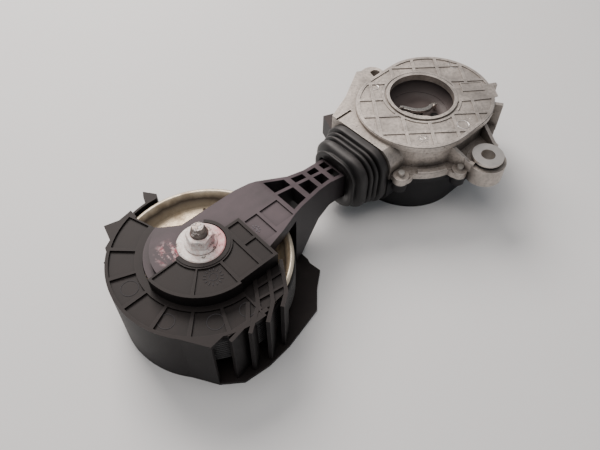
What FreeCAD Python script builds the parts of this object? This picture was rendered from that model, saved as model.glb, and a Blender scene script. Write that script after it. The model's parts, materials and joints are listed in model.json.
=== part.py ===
"""Belt tensioner idler: a friction idler wheel on a sliding arm, pushed out of a cast
housing by a motor-driven eccentric. Millimetres. The origin is the lower end of the front
mounting sleeve, +Z runs up the sleeve and the wheel's axle, +X points from the wheel
towards the drive housing, along the arm."""

import FreeCAD, Part
import Sketcher
import math
import os

Vector = FreeCAD.Vector
Rotation = FreeCAD.Rotation
Placement = FreeCAD.Placement

doc = FreeCAD.newDocument("belt_tensioner_idler")
sheet = doc.addObject("Spreadsheet::Sheet", "sheet")

DRIVING_SIZES = {
    # where the main axes lie, seen from above
    "wheel_x": -169.5, "wheel_y": 59.8, "drive_x": 3.0, "drive_y": 56.5,
    "case_x": 2.5, "case_y": 52.8, "case_half": 9.0, "rod_z": 2.0,
    # levels
    "foot_z": -28.0, "ring_low": 13.0, "ring_top": 15.6, "arm_low": 14.5, "arm_top": 22.0,
    "sector_top": 24.0, "plate_low": 23.0, "plate_top": 26.0, "flange_low": 5.0,
    "flange_top": 9.0, "cover_top": 4.0, "cover_low": -28.0,
    # idler wheel and its bearing
    "rim_radius": 48.8, "rim_top": 12.0, "drum_radius": 46.8, "drum_low": -14.0,
    "dish_floor": 3.5, "tyre_radius": 49.3, "tyre_top": 7.0, "tyre_low": -13.0,
    "sheet_steel": 2.0, "bearing_outer": 17.5, "bearing_bore": 8.5, "bearing_half": 6.0,
    "race_outer": 14.7, "race_inner": 11.3, "ball_pitch": 13.0, "ball_radius": 2.85,
    "stud_radius": 4.0, "stud_top": 38.0, "stud_low": -10.5, "washer_radius": 13.0,
    "washer_thick": 2.7, "nut_flats": 13.0, "nut_tall": 8.0, "nut_flange": 8.6,
    # guard
    "guard_radius": 51.6, "guard_wall": 1.4, "ring_inner": 32.0, "sector_radius": 33.3,
    "rib": 1.8, "fin": 2.0, "sector_right": 25.0, "sector_front": 32.0, "collar": 13.4,
    # arm
    "head_radius": 27.5, "arm_end": 101.0, "arm_end_top": 11.0, "arm_end_low": -6.0,
    "column": 51.5, "slope_from": 50.0, "arm_wall": 2.6, "rod_radius": 4.5,
    # bellows
    "bellows_from": 97.0, "bellows_to": 119.7, "mouth_wide": 17.0, "mouth_tall": 20.0,
    "collar_wide": 26.0, "collar_tall": 21.5, "rubber": 2.0,
    # housing
    "plate_radius": 38.0, "wall_radius": 36.5, "wall": 3.0, "flange_radius": 42.5,
    "boss_radius": 4.8, "boss_reach": 45.4, "window_radius": 20.5, "neck_from": 120.0,
    "ear_radius": 12.0, "ear_low": 2.0, "ear_top": 14.0, "sleeve_bore": 4.3,
    "sleeve_radius": 6.3, "sleeve_flange": 9.6, "sleeve_top": 18.0, "far_ear_x": 6.5,
    "far_ear_y": 100.8, "far_ear_radius": 8.5, "slot_radius": 3.3, "slot_half": 2.7,
    "tub_radius": 37.0, "screw_radius": 1.9,
    # drive
    "crank": 8.0, "gear_radius": 12.0, "gear_low": -14.0, "gear_top": -7.0,
    "worm_radius": 3.2, "worm_y": 41.0, "worm_z": -10.5, "motor_radius": 9.0,
    "motor_from": 17.0, "motor_to": 35.0, "dish_radius": 19.0, "dish_low": 9.0,
    "dish_top": 14.0, "crank_pin": 3.0, "slider": 4.0, "slot_gap": 0.1,
}


class Size:
    """A length that carries both its value and the sheet formula that drives it."""

    def __init__(self, value, formula):
        self.value = value
        self.formula = formula

    def __add__(self, other):
        return Size(self.value + number(other), "(%s + %s)" % (self.formula, formula(other)))

    def __radd__(self, other):
        return self + other

    def __sub__(self, other):
        return Size(self.value - number(other), "(%s - %s)" % (self.formula, formula(other)))

    def __rsub__(self, other):
        return Size(number(other) - self.value, "(%s - %s)" % (formula(other), self.formula))

    def __mul__(self, other):
        return Size(self.value * number(other), "(%s * %s)" % (self.formula, formula(other)))

    def __rmul__(self, other):
        return self * other

    def __neg__(self):
        return Size(-self.value, "(0 - %s)" % self.formula)


def number(length):
    return length.value if isinstance(length, Size) else float(length)


def formula(length):
    return length.formula if isinstance(length, Size) else "%.6f" % length


class Sizes:
    """Every driving size of the sheet, as an attribute."""


for row, (alias, value) in enumerate(DRIVING_SIZES.items(), start=1):
    sheet.set("A%d" % row, alias)
    sheet.set("B%d" % row, str(value))
    sheet.setAlias("B%d" % row, alias)
    setattr(Sizes, alias, Size(value, "sheet." + alias))
doc.recompute()
S = Sizes


# ---------------------------------------------------------------- building blocks
def bind(item, prop, length):
    item.setExpression(prop, formula(length))


def place(item, x=0.0, y=0.0, z=0.0, rotation=None):
    """Put an item where the sheet says; rotation is a FreeCAD Rotation."""
    item.Placement = Placement(Vector(number(x), number(y), number(z)), rotation or Rotation())
    for axis, length in (("x", x), ("y", y), ("z", z)):
        if isinstance(length, Size):
            bind(item, "Placement.Base." + axis, length)
    return item


ALONG_X = Rotation(Vector(0, 1, 0), 90)
ALONG_Y = Rotation(Vector(1, 0, 0), -90)


def turned_about_z(degrees):
    return Rotation(Vector(0, 0, 1), degrees)


def cylinder(radius, height, x=0.0, y=0.0, z=0.0, rotation=None, angle=360.0):
    item = doc.addObject("Part::Cylinder", "cylinder")
    bind(item, "Radius", radius)
    bind(item, "Height", height)
    item.Angle = angle
    return place(item, x, y, z, rotation)


def block(length, width, height, x=0.0, y=0.0, z=0.0, rotation=None):
    item = doc.addObject("Part::Box", "block")
    bind(item, "Length", length)
    bind(item, "Width", width)
    bind(item, "Height", height)
    return place(item, x, y, z, rotation)


def ball(radius, x=0.0, y=0.0, z=0.0):
    item = doc.addObject("Part::Sphere", "ball")
    bind(item, "Radius", radius)
    return place(item, x, y, z)


def ring_bar(major, minor, x=0.0, y=0.0, z=0.0):
    item = doc.addObject("Part::Torus", "ring_bar")
    bind(item, "Radius1", major)
    bind(item, "Radius2", minor)
    return place(item, x, y, z)


def cut(base, *tools):
    item = doc.addObject("Part::Cut", "cut")
    item.Base = base
    item.Tool = tools[0] if len(tools) == 1 else fuse(*tools)
    return item


def fuse(*items):
    item = doc.addObject("Part::MultiFuse", "fuse")
    item.Shapes = list(items)
    return item


def common(*items):
    item = doc.addObject("Part::MultiCommon", "common")
    item.Shapes = list(items)
    return item


def tube(outer, inner, height, x=0.0, y=0.0, z=0.0, rotation=None):
    """A round tube, its lower end at z."""
    return cut(cylinder(outer, height, x, y, z, rotation), cylinder(inner, height, x, y, z, rotation))


def ring_sector(outer, inner, height, x, y, z, start, sweep):
    """Part of a flat ring, from the angle start over sweep degrees."""
    turn = turned_about_z(start)
    return cut(cylinder(outer, height, x, y, z, turn, sweep), cylinder(inner, height, x, y, z, turn, sweep))


def arc_through(start, end, radius, left):
    """The shorter arc of a radius from start to end, its centre to the left of the way."""
    chord = end - start
    half = chord.Length / 2
    rise = math.sqrt(max(radius * radius - half * half, 0.0))
    side = Vector(-chord.y, chord.x, 0).normalize() * (1 if left else -1)
    centre = (start + end) * 0.5 + side * rise
    circle = Part.Circle(centre, Vector(0, 0, 1), (start - centre).Length)
    first, last = (start, end) if left else (end, start)
    angles = [math.atan2(point.y - centre.y, point.x - centre.x) for point in (first, last)]
    if angles[1] < angles[0]:
        angles[1] += 2 * math.pi
    return Part.ArcOfCircle(circle, *angles)


def sketched(body, role, outline):
    """A closed sketch in a body. An outline is points (x, y), and a point (x, y, radius)
    ends an arc of that radius; a negative radius has its centre on the right."""
    sketch = body.newObject("Sketcher::SketchObject", "sketch")
    plane = [item for item in body.Origin.OriginFeatures if item.Role == role][0]
    sketch.AttachmentSupport = [(plane, "")]
    sketch.MapMode = "FlatFace"
    count = len(outline)
    corners = [Vector(number(point[0]), number(point[1]), 0) for point in outline]
    for index in range(count):
        start, end = corners[index - 1], corners[index]
        if len(outline[index]) == 3:
            radius = number(outline[index][2])
            sketch.addGeometry(arc_through(start, end, abs(radius), radius > 0))
        else:
            sketch.addGeometry(Part.LineSegment(start, end))
    for index in range(count):
        edge, point = sketch.Geometry[index], corners[index]
        end_mark = 2 if (edge.EndPoint - point).Length < 1e-6 else 1
        following = (index + 1) % count
        next_edge = sketch.Geometry[following]
        start_mark = 1 if (next_edge.StartPoint - point).Length < 1e-6 else 2
        sketch.addConstraint(Sketcher.Constraint("Coincident", index, end_mark, following, start_mark))
        for kind, value in (("DistanceX", outline[index][0]), ("DistanceY", outline[index][1])):
            held = sketch.addConstraint(Sketcher.Constraint(kind, index, end_mark, number(value)))
            if isinstance(value, Size):
                sketch.setExpression("Constraints[%d]" % held, formula(value))
        if len(outline[index]) == 3:
            radius = outline[index][2]
            held = sketch.addConstraint(Sketcher.Constraint("Radius", index, abs(number(radius))))
    return sketch


def turned(outline, x=0.0, y=0.0, z=0.0, rotation=None):
    """A body of revolution about its own Z; the outline is (radius, height) points."""
    body = doc.addObject("PartDesign::Body", "turned")
    sketch = sketched(body, "XZ_Plane", outline)
    revolution = body.newObject("PartDesign::Revolution", "revolution")
    revolution.Profile = sketch
    revolution.ReferenceAxis = (sketch, ["V_Axis"])
    revolution.Angle = 360
    sketch.Visibility = False
    return place(body, x, y, z, rotation)


def padded(outline, height, x=0.0, y=0.0, z=0.0, rotation=None, role="XY_Plane"):
    """A flat body of a given height above its outline."""
    body = doc.addObject("PartDesign::Body", "padded")
    sketch = sketched(body, role, outline)
    pad = body.newObject("PartDesign::Pad", "pad")
    pad.Profile = sketch
    bind(pad, "Length", height)
    sketch.Visibility = False
    return place(body, x, y, z, rotation)


def side_padded(outline, width, x=0.0, y=0.0, z=0.0):
    """A body whose outline is (x, z) and which is as wide as width, centred on y."""
    body = doc.addObject("PartDesign::Body", "side_padded")
    sketch = sketched(body, "XZ_Plane", outline)
    pad = body.newObject("PartDesign::Pad", "pad")
    pad.Profile = sketch
    bind(pad, "Length", width)
    pad.Midplane = True
    return place(body, x, y, z)


def oblong(radius, height, z):
    """The housing's oblong outline as a solid: two round ends about the case's centre."""
    half = S.case_half
    ends = [cylinder(radius, height, S.case_x - half, S.case_y, z),
            cylinder(radius, height, S.case_x + half, S.case_y, z)]
    bar = block(half * 2, radius * 2, height, S.case_x - half, S.case_y - radius, z)
    return fuse(bar, *ends)


def rounded_section(wide, tall, corner, x):
    """A rounded rectangle in the plane across the arm, as a closed wire for a loft."""
    wide, tall, corner, x = number(wide), number(tall), number(corner), number(x)
    centre = Vector(x, 0, 0)
    lines = []
    for quarter in range(4):
        turn = math.radians(90 * quarter)
        across = (wide, tall)[quarter % 2] - corner
        along = (tall, wide)[quarter % 2] - corner
        out = Vector(0, math.cos(turn), math.sin(turn))
        side = Vector(0, -math.sin(turn), math.cos(turn))
        middle = centre + out * across + side * along
        first = middle + out * corner
        last = middle + side * corner
        through = middle + (out + side) * (corner / math.sqrt(2))
        lines.append(Part.LineSegment(first - side * (2 * along), first).toShape())
        lines.append(Part.Arc(first, through, last).toShape())
    return Part.Wire(Part.__sortEdges__(lines))


NODES = {}


def node(name, item):
    """Name a finished piece; its label is the name of its file."""
    item.Label = name
    NODES[name] = item


WHEEL = (S.wheel_x, S.wheel_y)
DRIVE = (S.drive_x, S.drive_y)
AXIS_Y = S.wheel_y


# ---------------------------------------------------------------- idler wheel
def wheel_pieces():
    steel = S.sheet_steel
    bore = S.bearing_outer + 0.02
    floor = S.dish_floor
    drum = S.drum_radius
    disc = turned([
        (bore, -S.bearing_half), (bore + steel, -S.bearing_half), (bore + steel, floor - steel + 2.5),
        (bore + 7, floor - steel), (drum - 7, floor - steel), (drum - steel, floor + 1),
        (drum - steel, S.drum_low), (drum, S.drum_low), (drum, S.rim_top - steel),
        (S.rim_radius, S.rim_top - steel), (S.rim_radius, S.rim_top), (drum - steel, S.rim_top),
        (drum - 7, floor), (bore + 8, floor), (bore + steel + 2, S.bearing_half), (bore, S.bearing_half),
    ], *WHEEL)
    node("wheel_disc", disc)
    tyre_tall = S.tyre_top - S.tyre_low
    node("friction_tyre", turned([
        (drum, S.tyre_low), (S.tyre_radius - 0.8, S.tyre_low), (S.tyre_radius, S.tyre_low + 0.8),
        (S.tyre_radius, S.tyre_top - 0.8), (S.tyre_radius - 0.8, S.tyre_top), (drum, S.tyre_top),
    ], *WHEEL))

    half = S.bearing_half
    track = ring_bar(S.ball_pitch, S.ball_radius + 0.1, *WHEEL)
    outer = tube(S.bearing_outer, S.race_outer, half * 2, *WHEEL, z=-half)
    node("bearing_outer_ring", cut(outer, track))
    inner = tube(S.race_inner, S.bearing_bore, half * 2, *WHEEL, z=-half)
    node("bearing_inner_ring", cut(inner, ring_bar(S.ball_pitch, S.ball_radius + 0.1, *WHEEL)))

    ball_count = 8
    balls, pockets = [], []
    for index in range(ball_count):
        turn = 2 * math.pi * index / ball_count
        x = S.wheel_x + S.ball_pitch * math.cos(turn)
        y = S.wheel_y + S.ball_pitch * math.sin(turn)
        balls.append(ball(S.ball_radius, x, y))
        pockets.append(ball(S.ball_radius + 0.08, x, y))
    node("bearing_balls", fuse(*balls))
    cage = tube(S.ball_pitch + 0.8, S.ball_pitch - 0.8, 4.6, *WHEEL, z=-0.4)
    node("bearing_cage", cut(cage, *pockets))
    seals = [tube(S.race_outer - 0.02, S.race_inner + 0.35, 0.8, *WHEEL, z=low)
             for low in (S.bearing_half - 1.2, 0.4 - S.bearing_half)]
    node("bearing_seals", fuse(*seals))


def axle_pieces():
    node("bearing_sleeve", turned([
        (S.stud_radius + 0.1, -S.bearing_half), (S.bearing_bore - 0.02, -S.bearing_half),
        (S.bearing_bore - 0.02, S.bearing_half), (S.race_inner, S.bearing_half),
        (S.race_inner, S.arm_low), (S.stud_radius + 0.1, S.arm_low),
    ], *WHEEL))
    node("axle_stud", turned([
        (0, S.stud_low), (8.6, S.stud_low), (9.2, S.stud_low + 0.6), (9.2, -S.bearing_half),
        (S.stud_radius, -S.bearing_half), (S.stud_radius, S.stud_top - 1), (S.stud_radius - 1, S.stud_top),
        (0, S.stud_top),
    ], *WHEEL))
    washer_top = S.arm_top + S.washer_thick
    node("washer", turned([
        (S.stud_radius + 0.3, S.arm_top), (S.washer_radius, S.arm_top), (S.washer_radius, washer_top - 0.5),
        (S.washer_radius - 0.5, washer_top), (S.stud_radius + 0.3, washer_top),
    ], *WHEEL))
    hexagon = doc.addObject("Part::Prism", "hexagon")
    hexagon.Polygon = 6
    bind(hexagon, "Circumradius", S.nut_flats * (1 / math.sqrt(3)))
    bind(hexagon, "Height", S.nut_tall)
    place(hexagon, *WHEEL, z=washer_top, rotation=turned_about_z(-13))
    flange = cylinder(S.nut_flange, 1.6, *WHEEL, z=washer_top)
    node("flange_nut", cut(fuse(hexagon, flange), cylinder(S.stud_radius + 0.02, 12, *WHEEL, z=S.arm_top)))


# ---------------------------------------------------------------- arm
def arm_outline(inset):
    """The arm from above, about the wheel's axis, drawn inset from its edge."""
    far, near = -inset, inset
    head = S.head_radius - inset
    return [
        (S.arm_end, -9.5 + near), (S.arm_end, 9.8 + far), (80, 7.8 + far), (68, 8.8 + far),
        (57, 12.8 + far), (46, 16.8 + far), (37, 18.2 + far), (0, 18.2 + far),
        (-10.5 + inset * 0.3, 25.4 - inset * 1.1),
        (-10.5 + inset * 0.3, -25.4 + inset * 1.1, head), (0, -26.6 + near), (24, -25.2 + near),
        (39, -21.4 + near), (58, -15 + near), (76, -10.6 + near), (86, -9.2 + near),
    ]


def arm_pieces():
    tall = 80
    body = padded(arm_outline(0.0), tall, *WHEEL, z=-40)
    side = side_padded([
        (-30, S.arm_low), (S.column, S.arm_low), (S.column, -25.9), (58, -25.9), (66.5, -18), (76, -10),
        (86, S.arm_end_low - 0.5), (S.arm_end, S.arm_end_low), (S.arm_end, S.arm_end_top),
        (S.slope_from, S.arm_top), (-30, S.arm_top),
    ], 80, *WHEEL)
    step = ring_sector(31.6, 20, 2.5, *WHEEL, S.arm_low, 107, 163)
    envelope = fuse(common(body, side), step)

    inner = padded([
        (86, -6), (86, 5), (68, 5.8), (57, 9.8), (54.5, 11), (54.5, -13.5), (58, -12.2), (76, -7.6),
    ], tall, *WHEEL, z=-40)
    under = side_padded([(54.5, -40), (86, -40), (86, 2.2), (54.5, 9.2)], 80, *WHEEL)
    hollow = common(inner, under)

    lattice_outline = padded(arm_outline(2.4), tall, *WHEEL, z=-40)
    bars = []
    for start, end in ((52.5, 64.5), (68.5, 77), (80.5, 87.6)):
        for low, wide in ((-30, 29.8), (1.9, 30)):
            bars.append(block(end - start, wide, 40, S.wheel_x + start, S.wheel_y + low, 2))
    for low, wide in ((-30, 29.8), (1.9, 30)):
        bars.append(block(5.2, wide, 40, S.wheel_x + 91.3, S.wheel_y + low, S.arm_end_top - 5))
    lattice = common(lattice_outline, fuse(*bars))

    panels = [block(8.4, 17, 5, S.wheel_x + 26.5, S.wheel_y - 20, S.arm_top - 0.9),
              block(12.5, 14, 5, S.wheel_x + 37, S.wheel_y - 17, S.arm_top - 0.9)]
    stud_hole = cylinder(S.stud_radius + 0.3, 60, *WHEEL, z=-20)
    rod_hole = cylinder(S.rod_radius + 0.02, 30, S.wheel_x + 87.5, S.wheel_y, S.rod_z, ALONG_X)
    screw_holes = [cylinder(1.72, 12, S.wheel_x + 56.2, S.wheel_y + side, -27)
                   for side in (-10, 8)]
    pads = [common(cylinder(4, 14, S.wheel_x + 56.2, S.wheel_y + side, -25.9), body) for side in (-10, 8)]
    shell = cut(envelope, hollow, lattice, *panels)
    node("arm", cut(fuse(shell, *pads), stud_hole, rod_hole, *screw_holes))

    heads = []
    for side in (-10, 8):
        x, y = S.wheel_x + 56.2, S.wheel_y + side
        heads.append(fuse(cylinder(3.4, 1.2, x, y, S.foot_z + 0.1), cylinder(1.7, 11, x, y, -27)))
    node("guard_screws", fuse(*heads))


def rod_pieces():
    yoke_left = S.drive_x - 9
    rod_from = S.wheel_x + 88
    node("slide_rod", cylinder(S.rod_radius, yoke_left + 3 - rod_from, rod_from, AXIS_Y, S.rod_z, ALONG_X))
    slot_wide = S.slider + S.slot_gap
    plate = block(18, 21, 11.4, yoke_left, S.drive_y - 5, S.rod_z - 5.9)
    slot = fuse(block(slot_wide * 2, 6, 40, S.drive_x - slot_wide, S.drive_y + 4.6, -20),
                cylinder(slot_wide, 40, S.drive_x, S.drive_y + 10.6, -20),
                cylinder(slot_wide, 40, S.drive_x, S.drive_y + 4.6, -20))
    socket = cylinder(S.rod_radius + 0.02, 6, yoke_left - 3, AXIS_Y, S.rod_z, ALONG_X)
    node("drive_yoke", cut(plate, slot, socket))
    node("spring_seat", tube(7.4, S.rod_radius + 0.02, 2, S.drive_x - 35, AXIS_Y, S.rod_z, ALONG_X))

    turns = doc.addObject("Part::Helix", "spring_line")
    spring_long = 21.6
    turns.Pitch = spring_long / 6
    turns.Height = spring_long
    turns.Radius = 6.0
    wire = doc.addObject("Part::Circle", "spring_wire")
    wire.Radius = 0.7
    wire.Placement = Placement(Vector(6.0, 0, 0), Rotation(Vector(1, 0, 0), 90))
    coil = doc.addObject("Part::Sweep", "coil")
    coil.Sections = [wire]
    coil.Spine = (turns, ["Edge1"])
    coil.Solid = True
    coil.Frenet = True
    node("pressure_spring", place(coil, S.drive_x - 32.2, AXIS_Y, S.rod_z, ALONG_X))


# ---------------------------------------------------------------- wheel guard
RING_START, RING_END = 107.0, 270.0
RIB_STEP = 22.5


def guard_ring():
    tall = S.ring_top - S.ring_low
    radius = S.guard_radius
    ring = ring_sector(radius, S.ring_inner, tall, *WHEEL, S.ring_low, RING_START, RING_END - RING_START)
    corner = padded([
        (-12.5, 45), (-12.5, 50.6), (-21, 49), (-29.5, 51.2), (-32.2, 40.6), (-36.9, 37.8), (-39, 31.6),
        (-42.5, 30), (-36, 32), (-25, 38),
    ], tall, *WHEEL, z=S.ring_low)
    spur = padded([
        (-39.8, -32.8), (-31, -47), (-16, -45.6), (-5, -49.4), (1, -47), (1, -42), (-20, -40), (-33, -30),
    ], tall, *WHEEL, z=S.ring_low)
    pockets = []
    rib_angle = math.degrees(number(S.rib) / 2 / 43)
    starts = [RING_START] + [135 + RIB_STEP * step for step in range(6)]
    for index, start in enumerate(starts):
        end = starts[index + 1] if index + 1 < len(starts) else RING_END
        pockets.append(ring_sector(radius - 1.8, 36.2, tall, *WHEEL, S.ring_top - 1.2,
                                   start + rib_angle, end - start - 2 * rib_angle))
    return cut(fuse(ring, corner, spur), *pockets)


def guard_wall():
    tall = S.ring_top - S.foot_z
    radius = S.guard_radius
    inner = radius - S.guard_wall
    wall = ring_sector(radius, inner, tall, *WHEEL, S.foot_z, 86, 134)
    flare = padded([
        (-39.5, -33.2), (-31, -47), (-29.6, -46.4), (-38.4, -32.3),
    ], tall, *WHEEL, z=S.foot_z)
    hook = padded([
        (-3, 50.4), (-1.2, 55.8), (1, 59.6), (6, 52.8), (4.2, 50.2),
    ], S.ring_top - 2, *WHEEL, z=0)
    low_rim = cut(wall, cylinder(radius + 1, 4, S.wheel_x + 22, S.wheel_y + 50, S.ring_top - 2))
    return fuse(low_rim, flare, hook)


def guard_sector():
    tall = S.ring_top - S.ring_low
    high = S.sector_top - S.arm_top
    step = S.sector_top - S.ring_low
    radius = S.sector_radius
    right, front = S.sector_right, S.sector_front
    x, y = WHEEL
    plate = fuse(ring_sector(radius, S.collar, high, x, y, S.arm_top, 180, 90),
                 cut(block(right, front, high, x, y - front, S.arm_top),
                     cylinder(S.collar, high, x, y, S.arm_top)),
                 ring_sector(S.collar + 2, S.collar, high + 0.4, x, y, S.arm_top, 176, 232))
    skirt = fuse(ring_sector(radius, radius - 1.5, step, x, y, S.ring_low, 180, 90),
                 block(right, 1.5, step, x, y - front, S.ring_low),
                 block(1.5, front - 27.5, step, x + right - 1.5, y - front, S.ring_low))
    panel = S.sector_top - 0.9
    pockets = [
        ring_sector(radius - 1.6, S.collar + 3, 3, x, y, panel, 182, 41.4),
        ring_sector(radius - 1.6, S.collar + 3, 3, x, y, panel, 226.6, 41.4),
        cut(block(12.8, 29, 3, x + 1, y - 30.4, panel), cylinder(S.collar + 3, 5, x, y, panel)),
        cut(block(7.2, 14.2, 3, x + 16, y - 30.4, panel), cylinder(S.collar + 3, 5, x, y, panel)),
        cut(block(7.2, 13, 3, x + 16, y - 14.6, panel), cylinder(S.collar + 3, 5, x, y, panel)),
    ]
    return fuse(cut(plate, *pockets), skirt)


FIN_BENDS = [
    # inner end, bend, outer end, about the wheel's axis
    ((-2.0, -39.5), (-9.2, -48.4), (-22.0, -50.6)),
    ((9.4, -31.4), (0.6, -44.6), (-12.3, -53.8)),
    ((18.6, -31.4), (7.2, -48.2), (-2.0, -55.0)),
    ((27.4, -31.4), (16.2, -48.2), (9.0, -53.2)),
]


def fin_outline(points, half):
    """A bent strip of even thickness about the line through three points."""
    line = [Vector(x, y, 0) for x, y in points]
    first = (line[1] - line[0]).normalize()
    last = (line[2] - line[1]).normalize()
    normals = [Vector(-first.y, first.x, 0), Vector(-last.y, last.x, 0)]
    middle = (normals[0] + normals[1]).normalize()
    middle = middle * (1 / middle.dot(normals[0]))
    offsets = [normals[0], middle, normals[1]]
    left = [point + offset * half for point, offset in zip(line, offsets)]
    right = [point - offset * half for point, offset in zip(line, offsets)]
    return [(point.x, point.y) for point in left + right[::-1]]


def guard_fins():
    tall = S.ring_top - S.foot_z
    strips = [padded(fin_outline(points, number(S.fin) / 2), tall, *WHEEL, z=S.foot_z)
              for points in FIN_BENDS]
    wheel_room = cylinder(S.guard_radius - S.guard_wall, S.ring_low - S.foot_z, *WHEEL, z=S.foot_z)
    ties = [padded([(-22, -46), (-21, -48), (3, -50.2), (3, -48.2)], 2.4, *WHEEL, z=S.ring_low),
            padded([(-1, -31.4), (-1, -47), (6, -48.4), (16, -47.4), (26, -31.4)], 1.2, *WHEEL,
                   z=S.ring_low),
            padded([(5.5, -35.2), (5.5, -36.4), (24, -38.0), (24, -36.8)], 2.4, *WHEEL, z=S.ring_low),
            padded([(2.5, -41.0), (2.5, -42.2), (19, -45.0), (19, -43.8)], 2.4, *WHEEL, z=S.ring_low)]
    return fuse(cut(fuse(*strips), wheel_room), *ties)


def guard_base():
    tall = 2.0
    outline = [
        (58.3, 14.5), (58.3, -20), (57.2, -23.2), (58.2, -31.1), (48, -39.1), (38.1, -49.4), (31.1, -51),
        (11.3, -55.6), (-4.3, -56.9), (-20.1, -55.2), (-30.6, -47.3), (-39.5, -33.2),
        (-49.4, 14.8, -S.guard_radius), (-15, 49.3, -S.guard_radius), (4.6, 51.3, -S.guard_radius),
        (3.2, 36), (30, 24), (46, 14.5),
    ]
    plate = padded(outline, tall, *WHEEL, z=S.foot_z)
    opening = cylinder(36, 6, *WHEEL, z=S.foot_z - 2)
    holes = [cylinder(2.2, 6, S.wheel_x + 56.2, S.wheel_y + side, S.foot_z - 2) for side in (-10, 8)]
    sinks = [cylinder(3.6, 1.4, S.wheel_x + 56.2, S.wheel_y + side, S.foot_z) for side in (-10, 8)]
    return cut(plate, opening, *holes, *sinks)


def guard_pieces():
    room = turned([
        (0, -26), (50.2, -26), (50.2, S.ring_low), (0, S.ring_low),
    ], *WHEEL)
    moulding = fuse(guard_ring(), guard_wall(), guard_sector(), guard_fins(), guard_base())
    node("wheel_guard", cut(moulding, room))


# ---------------------------------------------------------------- bellows
BELLOWS_BANDS = [
    # start, end along the arm, and how far the band stands inside the full size
    (97.0, 99.0, 8.0), (99.0, 102.5, 8.8), (102.5, 108.0, 3.4), (108.0, 109.6, 4.6),
    (109.6, 111.0, 2.6), (111.0, 112.4, 3.8), (112.4, 114.0, 1.8), (114.0, 119.7, 0.0),
]


def rubber_band(start, end, wide, tall, corner):
    """One band of the bellows: a rounded rectangle extruded along the arm."""
    face = Part.Face(rounded_section(wide, tall, corner, start))
    band = face.extrude(Vector(end - start, 0, 0))
    band.translate(Vector(number(S.wheel_x), number(S.wheel_y), number(S.rod_z)))
    return band


def bellows_pieces():
    full_wide, full_tall = number(S.collar_wide), number(S.collar_tall)
    bands = [rubber_band(start, end, full_wide - inset, full_tall - inset * 0.35, 14 - inset * 0.3)
             for start, end, inset in BELLOWS_BANDS]
    throat_wide, throat_tall = full_wide - 11.2, full_tall - 5.4
    throat = rubber_band(98.5, 114.5, throat_wide, throat_tall, 9.5)
    wall = number(S.rubber)
    collar_room = rubber_band(114.5, 121, full_wide - wall, full_tall - wall, 14 - wall)
    mouth = Part.makeBox(8, 20.6, 19.2)
    mouth.translate(Vector(number(S.wheel_x + S.bellows_from) - 4, number(S.wheel_y) - 10.2, -6.6))
    sleeve = doc.addObject("Part::Feature", "bellows_shape")
    sleeve.Shape = bands[0].multiFuse(bands[1:]).cut(throat).cut(collar_room).cut(mouth)
    node("bellows", sleeve)

    ring = doc.addObject("Part::Feature", "retainer_shape")
    x = S.bellows_to - 3
    outline = rounded_section(S.collar_wide - 3.4, S.collar_tall - 3.4, 11.5, x)
    opening = rounded_section(S.collar_wide - 5, S.collar_tall - 5, 10, x)
    band = Part.Face(outline).extrude(Vector(2.4, 0, 0)).cut(Part.Face(opening).extrude(Vector(2.4, 0, 0)))
    band.translate(Vector(number(S.wheel_x), number(S.wheel_y), number(S.rod_z)))
    ring.Shape = band
    node("bellows_retainer", ring)


# ---------------------------------------------------------------- housing
SCREWS = [(-1, 212.0), (-1, 260.0), (-1, 118.0), (1, 62.0), (1, -15.0)]


def screw_places():
    """The cover screws about the two round ends: which end, and at what angle."""
    for end, degrees in SCREWS:
        turn = math.radians(degrees)
        yield (S.case_x + S.case_half * end + S.boss_reach * math.cos(turn),
               S.case_y + S.boss_reach * math.sin(turn))


def lugs(height, z, radius=S.boss_radius):
    return [cylinder(radius, height, x, y, z) for x, y in screw_places()]


def lobes(height, z):
    """Broad feet under the screw bosses, a little nearer the wall."""
    feet = []
    for x, y in screw_places():
        inward = Vector(number(S.case_x) - number(x), number(S.case_y) - number(y), 0).normalize() * 3.6
        feet.append(cylinder(7.0, height, x + inward.x, y + inward.y, z))
    return feet


def neck_block(low, high):
    """The neck that holds the bellows, between two levels."""
    outline = [(120, -26), (134, -26), (140, 0), (152, 34), (146, 34), (120, 24)]
    half = padded(outline, high - low, *WHEEL, z=low)
    section = doc.addObject("Part::Feature", "neck_section")
    wire = rounded_section(S.collar_wide + 0.6, S.collar_tall + 1.2, 14, S.neck_from)
    solid = Part.Face(wire).extrude(Vector(60, 0, 0))
    section.Shape = solid
    place(section, S.wheel_x, S.wheel_y, S.rod_z)
    wide = block(60, 60, 80, S.wheel_x + 132, S.wheel_y - 10, -40)
    return common(half, fuse(section, wide))


GRID_TURN = 51.0
GRID_STEP = 15.6


def relief_bar(offset, turn):
    """One long low rib through the plate, a given way from the window's centre."""
    spin = turned_about_z(turn)
    corner = spin.multVec(Vector(-60, offset - 1.0, 0))
    return block(120, 2.0, 0.6, S.drive_x + corner.x, S.drive_y + corner.y, S.plate_top, spin)


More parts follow.
